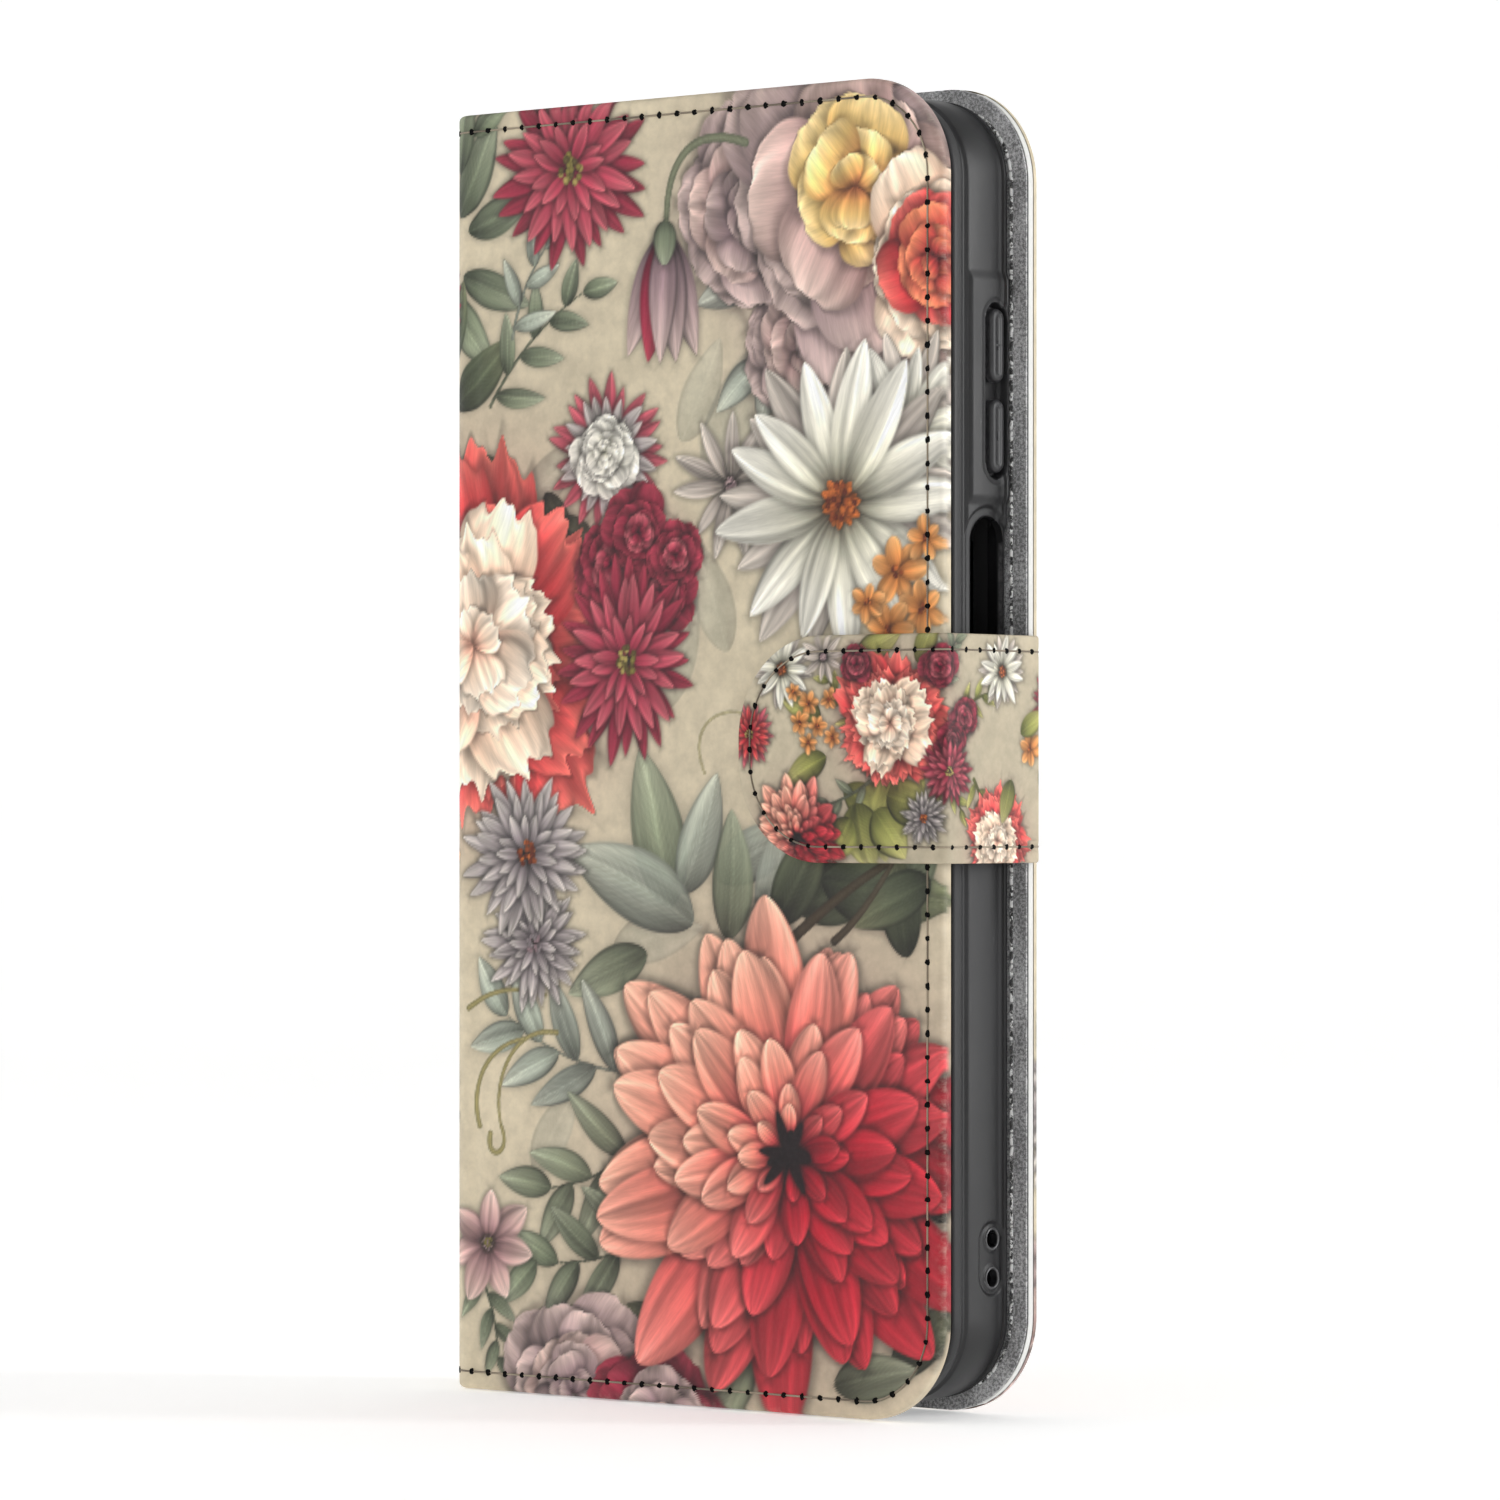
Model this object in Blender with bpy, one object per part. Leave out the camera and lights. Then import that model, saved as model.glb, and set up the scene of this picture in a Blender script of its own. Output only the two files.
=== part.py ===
"""A wallet phone case: a folding printed cover, a moulded shell that grips the phone, and a strap.

The case stands on the lower edges of its covers. X runs from the spine to the free edge, Y from the
front cover to the back cover, and Z up. Run it in Blender 4.5; lengths are in metres.
"""

import math

import bmesh
import bpy
from mathutils import Vector

MM = 0.001

# The folded cover.
COVER_WIDTH = 86.0 * MM
COVER_HEIGHT = 174.0 * MM
CASE_DEPTH = 19.6 * MM  # from the front face to the back face, closed
COVER_CORNER = 13.0 * MM
FRONT_SHORTFALL = 0.6 * MM  # the front cover stops this far short of the back one
FOLD_RADIUS = 3.5 * MM  # where the skin turns from a cover to the spine
FOLD_GAP = 0.3 * MM
FOLD_AXIS_OUTSIDE = 0.32 * MM  # a fold's axis lies this far outside the skin, clear of the threads

# The layers of a cover, from the outside in.
SKIN = 0.7 * MM
BOARD = 0.9 * MM
LINING = 0.5 * MM
GLUE_LINE = 0.1 * MM
COVER_THICKNESS = SKIN + BOARD + LINING + 2 * GLUE_LINE
SPINE_BOARD = 0.8 * MM
SPINE_BOARD_MARGIN = 4.2 * MM  # from the covers' outer faces to the spine's board
SPINE_LINING_MARGIN = 3.8 * MM
SPINE_END_MARGIN = 0.3 * MM  # the spine's board and lining stop short of its ends
TURNED_EDGE = 0.8 * MM  # the front skin wraps round the edges of its board
BOARD_SETBACK = 5.0 * MM  # the boards stop this far from the outside of the spine

# Sewing thread, drawn as one line for each seam.
THREAD_WIDTH = 0.6 * MM
THREAD_HEIGHT = 0.25 * MM
THREAD_LIFT = 0.05 * MM
THREAD_PROUD = THREAD_LIFT + THREAD_HEIGHT
# On the back face the seam lies in a pressed groove, so that the case rests flat on it.
GROOVE_WIDTH = 0.8 * MM
GROOVE_DEPTH = 0.35 * MM
SEAM_INSET = 2.4 * MM
LINING_SEAM_INSET = 1.9 * MM
LINING_SEAM_END_INSET = 1.0 * MM  # along the top and bottom edges it runs beside the shell

# The strap.
STRAP_HEIGHT = 29.6 * MM
STRAP_REACH = 33.0 * MM  # how far the tab lies over the front cover
STRAP_TIP = 13.5 * MM
STRAP_CLEARANCE = 0.2 * MM  # between the covers' free edge and the bridge
BRIDGE_LINING = 0.4 * MM
BRIDGE_SKIN = 0.6 * MM
BRIDGE_THICKNESS = BRIDGE_LINING + GLUE_LINE + BRIDGE_SKIN
BRIDGE_SEAM_START = 1.2 * MM  # the bridge's seams stop short of the fold at its base
BRIDGE_OVERREACH = 0.4 * MM  # the bridge ends this far in front of the front cover's face
TAB_CLEARANCE = 0.45 * MM  # between the front cover's skin and the tab
TAB_LINING = 0.35 * MM
TAB_MAGNET = 0.6 * MM
TAB_SKIN = 0.5 * MM
TAB_THICKNESS = TAB_LINING + TAB_MAGNET + TAB_SKIN + 2 * GLUE_LINE
TAB_HINGE_GAP = 0.1 * MM
TAB_HINGE_DEPTH = 0.07 * MM  # from the tab's lining face to the axis that it turns about
STRAP_ROOT_LENGTH = 11.4 * MM
STRAP_ROOT_CORNER = 2.0 * MM
STRAP_SEAM_INSET = 2.1 * MM
MAGNET_WIDTH = 12.0 * MM
MAGNET_HEIGHT = 16.0 * MM
MAGNET_CORNER = 2.0 * MM
MAGNET_FROM_TIP = 15.0 * MM

# Places that everything is measured from. The origin is under the middle of the whole case.
SPINE_X = -(COVER_WIDTH + STRAP_CLEARANCE + BRIDGE_THICKNESS) / 2
FREE_X = SPINE_X + COVER_WIDTH
REAR_Y = (CASE_DEPTH + TAB_CLEARANCE + TAB_THICKNESS) / 2
FRONT_Y = REAR_Y - CASE_DEPTH
FRONT_FREE_X = FREE_X - FRONT_SHORTFALL
FOLD_X = SPINE_X + FOLD_RADIUS + FOLD_GAP / 2
BOARD_X = SPINE_X + BOARD_SETBACK
STRAP_LOW = (COVER_HEIGHT - STRAP_HEIGHT) / 2
STRAP_HIGH = STRAP_LOW + STRAP_HEIGHT
BRIDGE_X = FREE_X + STRAP_CLEARANCE
TAB_Y = FRONT_Y - TAB_CLEARANCE
TAB_TIP_X = FREE_X - STRAP_REACH
TAB_END_X = FREE_X - TAB_HINGE_GAP
MAGNET_X = TAB_TIP_X + MAGNET_FROM_TIP
MAGNET_Z = COVER_HEIGHT / 2

# The shell.
SHELL_SIDE_INSET = 2.7 * MM  # from the back cover's free edge to the shell's wall
SHELL_END_INSET = 1.7 * MM  # from the covers' top and bottom edges
SHELL_SPINE_GAP = 0.35 * MM
ADHESIVE = 0.2 * MM
ADHESIVE_INSET = 4.0 * MM
SHELL_DEPTH = 11.4 * MM
SHELL_CORNER = 11.0 * MM
SHELL_WALL = 1.35 * MM
SHELL_BASE = 1.2 * MM
SHELL_LIP = 1.1 * MM  # how far the rim reaches in over the phone's screen edge
# The wall's section in pairs: the inset from the shell's outline, and the height off a face.
SHELL_BACK_EDGE = ((1.3 * MM, 0.0), (0.45 * MM, 0.25 * MM), (0.1 * MM, 0.8 * MM), (0.0, 1.8 * MM))
SHELL_RIM_GROOVE = (
    (0.0, 3.3 * MM),
    (0.15 * MM, 2.9 * MM),
    (0.5 * MM, 2.5 * MM),
    (0.5 * MM, 2.1 * MM),
    (0.3 * MM, 1.8 * MM),
    (0.3 * MM, 0.4 * MM),
    (0.6 * MM, 0.0),
)
SHELL_LIP_EDGE = ((-0.3 * MM, 0.0), (0.0, 0.3 * MM), (-0.2 * MM, 0.7 * MM))
SHELL_LIP_DEPTH = 1.0 * MM
SHELL_FLOOR_FILLET = ((0.0, 1.2 * MM), (0.35 * MM, 0.35 * MM), (1.2 * MM, 0.0))
SHELL_X = (
    SPINE_X + COVER_THICKNESS - BOARD + SPINE_BOARD + SHELL_SPINE_GAP,
    FREE_X - SHELL_SIDE_INSET,
)
SHELL_Z = (SHELL_END_INSET, COVER_HEIGHT - SHELL_END_INSET)
SHELL_BACK_Y = REAR_Y - COVER_THICKNESS - ADHESIVE - 2 * GLUE_LINE
SHELL_RIM_Y = SHELL_BACK_Y - SHELL_DEPTH
WALL_OUT = SHELL_X[1]  # the outer face of the wall that carries the buttons
CUT_INSIDE = 0.4 * MM  # a cut through a wall starts this far inside it
CUT_OUTSIDE = 2.0 * MM  # and ends this far outside it

# Openings in the shell's button wall: middle across the wall, width, and lowest and highest point.
VOLUME_SLOT = (SHELL_BACK_Y - 2.9 * MM, 4.4 * MM, 122.2 * MM, 145.2 * MM)
POWER_SLOT = (SHELL_BACK_Y - 4.0 * MM, 6.4 * MM, 93.0 * MM, 117.3 * MM)
POWER_RECESS = (SHELL_BACK_Y - 4.3 * MM, 8.6 * MM, 91.4 * MM, 118.6 * MM)
POWER_RECESS_DEPTH = 0.45 * MM
LANYARD_RECESS = (SHELL_BACK_Y - 3.5 * MM, 5.0 * MM, 15.9 * MM, 25.4 * MM)
LANYARD_RECESS_DEPTH = 0.4 * MM
LANYARD_HOLE_RADIUS = 1.25 * MM
LANYARD_HOLES_Z = (18.1 * MM, 23.2 * MM)
LANYARD_HOLE_Y = SHELL_BACK_Y - 3.2 * MM

# The two rubber keys in the volume slot.
KEY_WIDTH = 2.9 * MM
KEY_Y = VOLUME_SLOT[0]
KEY_PROUD = 0.6 * MM
KEY_THICKNESS = 1.7 * MM
VOLUME_UP_Z = (134.8 * MM, 144.4 * MM)
VOLUME_DOWN_Z = (123.0 * MM, 132.6 * MM)

# Openings in the shell's lower and upper end walls, across X at the phone's middle plane.
PHONE_MIDDLE_X = sum(SHELL_X) / 2
PHONE_DEPTH = 9.0 * MM
PHONE_MIDDLE_Y = SHELL_BACK_Y - SHELL_BASE - PHONE_DEPTH / 2
CHARGING_PORT = (13.0 * MM, 7.0 * MM)
SPEAKER_SLOT = (16.0 * MM, 4.8 * MM)
SPEAKER_OFFSET = 20.0 * MM
HEADPHONE_HOLE = 7.0 * MM
MICROPHONE_HOLE = 2.2 * MM
MICROPHONE_OFFSET = 12.0 * MM

# The camera opening through the back, near the upper corner on the free edge's side.
CAMERA_X = FREE_X - 20.0 * MM
CAMERA_Z = 141.0 * MM
CAMERA_SIZE = (24.0 * MM, 44.0 * MM)
CAMERA_CORNER = 7.0 * MM
CAMERA_COVER_MARGIN = 0.8 * MM  # the cover's opening is this much wider all round

# Pockets sewn to the inside of the front cover.
POCKET_SHEET = 0.5 * MM
CASH_POCKET_INSET = 4.0 * MM
CASH_POCKET_X = SPINE_X + 9.0 * MM
CARD_POCKET_X = (SPINE_X + 14.0 * MM, SPINE_X + 76.0 * MM)
CARD_POCKET_LOW = 26.0 * MM
CARD_POCKET_TOPS = (("top", 122.0 * MM), ("middle", 109.0 * MM), ("bottom", 96.0 * MM))
CARD_POCKET_CORNER = 3.0 * MM

ARC_STEPS = 8  # straight pieces in a quarter turn
THREAD_ARC_STEPS = 5
SMALLEST_RADIUS = 0.1 * MM
SHARP_ANGLE = 35.0  # degrees; two faces that meet at more than this show an edge
SAME_POINT = 0.001 * MM  # two arcs that meet share the point between them

# Base colour, roughness and metallic value of each material.
SURFACES = {
    "printed_leather": ((0.52, 0.42, 0.28), 0.55, 0.0),
    "board": ((0.80, 0.78, 0.74), 0.85, 0.0),
    "suede_lining": ((0.17, 0.17, 0.17), 0.95, 0.0),
    "shell_rubber": ((0.028, 0.028, 0.030), 0.42, 0.0),
    "thread": ((0.015, 0.014, 0.013), 0.70, 0.0),
    "adhesive": ((0.60, 0.58, 0.52), 0.60, 0.0),
    "pocket_leather": ((0.06, 0.06, 0.06), 0.60, 0.0),
    "magnet": ((0.55, 0.55, 0.56), 0.35, 1.0),
}


def surface(name):
    """The material of that name, made the first time it is asked for."""
    if name in bpy.data.materials:
        return bpy.data.materials[name]
    colour, roughness, metallic = SURFACES[name]
    material = bpy.data.materials.new(name)
    material.use_nodes = True
    shader = material.node_tree.nodes["Principled BSDF"]
    shader.inputs["Base Color"].default_value = (*colour, 1.0)
    shader.inputs["Roughness"].default_value = roughness
    shader.inputs["Metallic"].default_value = metallic
    return material


def place(mesh, name, surface_name, pivot=None):
    """An object for the mesh, hung on the pivot that carries its moving body."""
    mesh.set_sharp_from_angle(angle=math.radians(SHARP_ANGLE))
    mesh.materials.append(surface(surface_name))
    piece = bpy.data.objects.new(name, mesh)
    bpy.context.collection.objects.link(piece)
    if pivot:
        piece.parent = pivot
        piece.location = -Vector(pivot["at"])
    return piece


def new_pivot(name, at, parent=None):
    """An empty on a joint's axis."""
    pivot = bpy.data.objects.new(name, None)
    bpy.context.collection.objects.link(pivot)
    pivot["at"] = at
    pivot.empty_display_size = 5 * MM
    pivot.parent = parent
    pivot.location = Vector(at) - (Vector(parent["at"]) if parent else Vector())
    return pivot


def arc(centre, radius, start, end, steps=ARC_STEPS):
    """Points on a circle, from one angle to another in degrees, both ends included."""
    angles = [math.radians(start + (end - start) * i / steps) for i in range(steps + 1)]
    return [(centre[0] + radius * math.cos(a), centre[1] + radius * math.sin(a)) for a in angles]


def rounded_rectangle(low, high, spine_radius, free_radius, steps=ARC_STEPS):
    """An outline with one radius at its two low-x corners and one at its two high-x corners."""
    (x0, z0), (x1, z1) = low, high
    corners = (
        (x0, z0, 1, 1, spine_radius, 180),
        (x1, z0, -1, 1, free_radius, 270),
        (x1, z1, -1, -1, free_radius, 0),
        (x0, z1, 1, -1, spine_radius, 90),
    )
    outline = []
    for x, z, to_x, to_z, radius, start in corners:
        if radius:
            centre = (x + to_x * radius, z + to_z * radius)
            outline += arc(centre, radius, start, start + 90, steps)
        else:
            outline.append((x, z))
    return [p for i, p in enumerate(outline) if math.dist(p, outline[i - 1]) > SAME_POINT]


def slot(middle, width, low, high, steps=ARC_STEPS):
    """An upright slot with round ends."""
    radius = width / 2
    return rounded_rectangle((middle - radius, low), (middle + radius, high), radius, radius, steps)


def open_path(start_x, end_x, low, high, radius):
    """A path from start_x along the low side, round the two corners at end_x and back."""
    side = math.copysign(1, end_x - start_x)
    length = abs(end_x - start_x)
    path = [(0, low)]
    path += arc((length - radius, low + radius), radius, -90, 0, THREAD_ARC_STEPS)
    path += arc((length - radius, high - radius), radius, 0, 90, THREAD_ARC_STEPS)
    path.append((0, high))
    return [(start_x + side * x, z) for x, z in path]


def thread_outline(start_x, end_x, low, high, radius, inset, width=THREAD_WIDTH):
    """The outline of a thread, or of its groove, sewn inside three edges of a panel."""
    side = math.copysign(1, end_x - start_x)

    def edge(distance):
        corner = max(radius - distance, SMALLEST_RADIUS)
        return open_path(
            start_x, end_x - side * distance, low + distance, high - distance, corner
        )

    return edge(inset - width / 2) + edge(inset + width / 2)[::-1]


def in_space(axis, a, b, height):
    """A point from two coordinates across the axis and one along it."""
    return {"X": (height, a, b), "Y": (a, height, b), "Z": (a, b, height)}[axis]


def prism_mesh(name, axis, outline, low, high, holes=()):
    """A flat outline, with its holes, thickened from low to high along the axis."""
    work = bmesh.new()
    for loop in (outline, *holes):
        points = [work.verts.new(in_space(axis, a, b, low)) for a, b in loop]
        for i, point in enumerate(points):
            work.edges.new((points[i - 1], point))
    bmesh.ops.triangle_fill(work, edges=work.edges[:], use_beauty=True)
    raised = bmesh.ops.extrude_face_region(work, geom=work.faces[:], use_keep_orig=True)["geom"]
    lift = Vector(in_space(axis, 0, 0, high - low))
    bmesh.ops.translate(
        work, vec=lift, verts=[g for g in raised if isinstance(g, bmesh.types.BMVert)]
    )
    bmesh.ops.recalc_face_normals(work, faces=work.faces[:])
    mesh = bpy.data.meshes.new(name)
    work.to_mesh(mesh)
    work.free()
    return mesh


def prism(name, surface_name, axis, outline, span, pivot=None, holes=()):
    """A piece of even thickness."""
    mesh = prism_mesh(name, axis, outline, min(span), max(span), holes)
    return place(mesh, name, surface_name, pivot)


def cut(piece, name, axis, outline, span):
    """Takes a prism out of a piece. The cutter hangs where the piece hangs."""
    cutter = bpy.data.objects.new(name, prism_mesh(name, axis, outline, min(span), max(span)))
    bpy.context.collection.objects.link(cutter)
    cutter.hide_render = True
    cutter.display_type = "WIRE"
    cutter.parent = piece.parent
    cutter.location = piece.location
    modifier = piece.modifiers.new(name, "BOOLEAN")
    modifier.operation = "DIFFERENCE"
    modifier.object = cutter


def layers(face, inward, *thicknesses):
    """The spans of layers that follow each other inward from a face, with glue between them."""
    spans = []
    for thickness in thicknesses:
        spans.append((face, face + inward * thickness))
        face += inward * (thickness + GLUE_LINE)
    return spans


def cover_outline(start_x, free_x, inset=0.0):
    """A cover's outline: square at the spine and round at the free edge."""
    return rounded_rectangle(
        (start_x, inset), (free_x - inset, COVER_HEIGHT - inset), 0, COVER_CORNER - inset
    )


def camera_outline(margin=0.0):
    half_x, half_z = (size / 2 + margin for size in CAMERA_SIZE)
    corner = CAMERA_CORNER + margin
    low, high = (CAMERA_X - half_x, CAMERA_Z - half_z), (CAMERA_X + half_x, CAMERA_Z + half_z)
    return rounded_rectangle(low, high, corner, corner, THREAD_ARC_STEPS)


def build_back_cover():
    """The back cover's layers, its seam, the strap's sewn end and the glue that holds the shell."""
    skin, board, lining = layers(REAR_Y, -1, SKIN, BOARD, LINING)
    opening = [camera_outline(CAMERA_COVER_MARGIN)]
    inner = cover_outline(BOARD_X, FREE_X)
    back_skin = prism("back_skin", "printed_leather", "Y",
                      cover_outline(FOLD_X + FOLD_GAP / 2, FREE_X), skin, holes=opening)
    back_board = prism("back_board", "board", "Y", inner, board, holes=opening)
    prism("back_lining", "suede_lining", "Y", inner, lining, holes=opening)
    seam = thread_outline(BOARD_X, FREE_X, 0, COVER_HEIGHT, COVER_CORNER, SEAM_INSET)
    groove = thread_outline(BOARD_X - GLUE_LINE, FREE_X, 0, COVER_HEIGHT, COVER_CORNER,
                            SEAM_INSET, GROOVE_WIDTH)
    cut(back_skin, "back_seam_groove", "Y", groove, (REAR_Y - GROOVE_DEPTH, REAR_Y + CUT_OUTSIDE))
    prism("back_stitching", "thread", "Y", seam, (REAR_Y - THREAD_LIFT, REAR_Y - THREAD_PROUD))
    lining_face = lining[1]
    outward = LINING_SEAM_INSET - LINING_SEAM_END_INSET
    lining_seam = thread_outline(
        BOARD_X, FREE_X, -outward, COVER_HEIGHT + outward, COVER_CORNER, LINING_SEAM_INSET
    )
    prism("lining_stitching", "thread", "Y", lining_seam,
          (lining_face - THREAD_LIFT, lining_face - THREAD_PROUD))
    root_x = FREE_X - STRAP_ROOT_LENGTH
    notch_x, notch_out = root_x - GLUE_LINE, FREE_X + GLUE_LINE
    notch = rounded_rectangle(
        (notch_x, STRAP_LOW - GLUE_LINE), (notch_out, STRAP_HIGH + GLUE_LINE), 0, 0
    )
    cut(back_board, "strap_root_notch", "Y", notch,
        (skin[1] - GLUE_LINE / 2, lining[0] + GLUE_LINE / 2))
    root = rounded_rectangle((root_x, STRAP_LOW), (FREE_X, STRAP_HIGH), STRAP_ROOT_CORNER, 0)
    prism("strap_root", "pocket_leather", "Y", root, board)
    glue = rounded_rectangle(
        (SHELL_X[0] + ADHESIVE_INSET, SHELL_Z[0] + ADHESIVE_INSET),
        (SHELL_X[1] - ADHESIVE_INSET, SHELL_Z[1] - ADHESIVE_INSET),
        SHELL_CORNER - ADHESIVE_INSET,
        SHELL_CORNER - ADHESIVE_INSET,
    )
    glue_back = lining_face - GLUE_LINE
    prism("shell_adhesive", "adhesive", "Y", glue, (glue_back, glue_back - ADHESIVE), holes=opening)


def shell_profile():
    """Pairs of inset from the shell's outline and Y, round the wall from its back to its inside."""
    inner = SHELL_WALL + SHELL_LIP
    floor = SHELL_BACK_Y - SHELL_BASE
    profile = [(inset, SHELL_BACK_Y - height) for inset, height in SHELL_BACK_EDGE]
    profile += [(inset, SHELL_RIM_Y + height) for inset, height in SHELL_RIM_GROOVE]
    profile += [(inner + inset, SHELL_RIM_Y + height) for inset, height in SHELL_LIP_EDGE]
    profile.append((SHELL_WALL, SHELL_RIM_Y + SHELL_LIP_DEPTH))
    profile += [(SHELL_WALL + inset, floor - height) for inset, height in SHELL_FLOOR_FILLET]
    return profile


def shell_ring(work, inset, y):
    outline = rounded_rectangle(
        (SHELL_X[0] + inset, SHELL_Z[0] + inset),
        (SHELL_X[1] - inset, SHELL_Z[1] - inset),
        SHELL_CORNER - inset,
        SHELL_CORNER - inset,
    )
    return [work.verts.new((x, y, z)) for x, z in outline]


def join_rings(work, first, second):
    count = len(first)
    for i in range(count):
        j = (i + 1) % count
        work.faces.new((first[i], first[j], second[j], second[i]))


def ring_edges(work, ring):
    return [
        work.edges.get((ring[i - 1], ring[i])) or work.edges.new((ring[i - 1], ring[i]))
        for i in range(len(ring))
    ]


def build_shell():
    """The tray that grips the phone: one wall profile swept round a rounded rectangle."""
    work = bmesh.new()
    rings = [shell_ring(work, inset, y) for inset, y in shell_profile()]
    for first, second in zip(rings, rings[1:]):
        join_rings(work, first, second)
    camera = camera_outline()
    rims = []
    for ring, y in ((rings[0], SHELL_BACK_Y), (rings[-1], SHELL_BACK_Y - SHELL_BASE)):
        hole = [work.verts.new((x, y, z)) for x, z in camera]
        edges = ring_edges(work, ring) + ring_edges(work, hole)
        bmesh.ops.triangle_fill(work, edges=edges, use_beauty=True)
        rims.append(hole)
    join_rings(work, *rims)
    bmesh.ops.recalc_face_normals(work, faces=work.faces[:])
    mesh = bpy.data.meshes.new("inner_shell")
    work.to_mesh(mesh)
    work.free()
    shell = place(mesh, "inner_shell", "shell_rubber")
    cut_button_wall(shell)
    cut_end_walls(shell)


def cut_button_wall(shell):
    """The keys' slot, the power key's window and the wrist-strap holes, cut along X."""
    beyond = WALL_OUT + CUT_OUTSIDE
    inside = WALL_OUT - SHELL_WALL - CUT_INSIDE
    cut(shell, "power_recess", "X", slot(*POWER_RECESS), (WALL_OUT - POWER_RECESS_DEPTH, beyond))
    cut(shell, "power_window", "X", slot(*POWER_SLOT), (inside, beyond))
    cut(shell, "volume_slot", "X", slot(*VOLUME_SLOT), (inside, beyond))
    cut(shell, "lanyard_recess", "X", slot(*LANYARD_RECESS),
        (WALL_OUT - LANYARD_RECESS_DEPTH, beyond))
    for number, z in enumerate(LANYARD_HOLES_Z, 1):
        hole = arc((LANYARD_HOLE_Y, z), LANYARD_HOLE_RADIUS, 0, 360, 2 * ARC_STEPS)[:-1]
        cut(shell, f"lanyard_hole_{number}", "X", hole, (inside, beyond))


def end_slot(offset, width, depth):
    """A slot lying along X in an end wall, centred on the phone's middle plane."""
    x, y = PHONE_MIDDLE_X + offset, PHONE_MIDDLE_Y
    radius = depth / 2
    return rounded_rectangle(
        (x - width / 2, y - radius), (x + width / 2, y + radius), radius, radius
    )


def cut_end_walls(shell):
    """The charging, sound and microphone openings, cut along Z."""
    low = (SHELL_Z[0] - CUT_OUTSIDE, SHELL_Z[0] + SHELL_WALL + CUT_INSIDE)
    high = (SHELL_Z[1] - SHELL_WALL - CUT_INSIDE, SHELL_Z[1] + CUT_OUTSIDE)
    cut(shell, "charging_port", "Z", end_slot(0, *CHARGING_PORT), low)
    cut(shell, "speaker_slot", "Z", end_slot(SPEAKER_OFFSET, *SPEAKER_SLOT), low)
    cut(shell, "headphone_hole", "Z", end_slot(-SPEAKER_OFFSET, HEADPHONE_HOLE, HEADPHONE_HOLE), low)
    for name, span in (("lower_microphone", low), ("upper_microphone", high)):
        hole = end_slot(-MICROPHONE_OFFSET, MICROPHONE_HOLE, MICROPHONE_HOLE)
        cut(shell, name, "Z", hole, span)


def build_keys():
    """The two rubber keys, each sliding straight in."""
    for name, (low, high) in (("volume_up", VOLUME_UP_Z), ("volume_down", VOLUME_DOWN_Z)):
        outer = WALL_OUT + KEY_PROUD
        pivot = new_pivot(f"{name}_press", (outer, KEY_Y, (low + high) / 2))
        outline = slot(KEY_Y, KEY_WIDTH, low, high)
        prism(f"{name}_key", "shell_rubber", "X", outline, (outer - KEY_THICKNESS, outer), pivot)


def spine_section(outer, thickness):
    """A C-shaped section: flat along the spine, turning into the covers at both ends."""
    corners = (
        ((SPINE_X + FOLD_RADIUS, REAR_Y - FOLD_RADIUS), 90, 180),
        ((SPINE_X + FOLD_RADIUS, FRONT_Y + FOLD_RADIUS), 180, 270),
    )
    outside, inside = [], []
    for centre, start, end in corners:
        outside += arc(centre, FOLD_RADIUS + outer, start, end)
        inside += arc(centre, FOLD_RADIUS + outer - thickness, start, end)
    return outside + inside[::-1]


def build_spine(pivot):
    """The spine: a bent skin, a stiffening strip, a lining strip, and its two runs of seam."""
    height = (0, COVER_HEIGHT)
    prism("spine_skin", "printed_leather", "Z", spine_section(0, SKIN), height, pivot)
    behind_skin = SPINE_X + SKIN + GLUE_LINE
    board, lining = layers(behind_skin, 1, SPINE_BOARD, LINING)
    for name, span, material, margin in (
        ("spine_board", board, "board", SPINE_BOARD_MARGIN),
        ("spine_lining", lining, "suede_lining", SPINE_LINING_MARGIN),
    ):
        outline = rounded_rectangle(
            (span[0], FRONT_Y + margin), (span[1], REAR_Y - margin), 0, 0
        )
        shortened = (SPINE_END_MARGIN, COVER_HEIGHT - SPINE_END_MARGIN)
        prism(name, material, "Z", outline, shortened, pivot)
    thread = spine_section(THREAD_PROUD, THREAD_HEIGHT)
    for name, z in (
        ("spine_stitching_bottom", SEAM_INSET),
        ("spine_stitching_top", COVER_HEIGHT - SEAM_INSET),
    ):
        span = (z - THREAD_WIDTH / 2, z + THREAD_WIDTH / 2)
        prism(name, "thread", "Z", thread, span, pivot)


def magnet_outline(margin=0.0):
    half_x, half_z = MAGNET_WIDTH / 2 + margin, MAGNET_HEIGHT / 2 + margin
    low, high = (MAGNET_X - half_x, MAGNET_Z - half_z), (MAGNET_X + half_x, MAGNET_Z + half_z)
    return rounded_rectangle(low, high, MAGNET_CORNER, MAGNET_CORNER, THREAD_ARC_STEPS)


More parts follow.
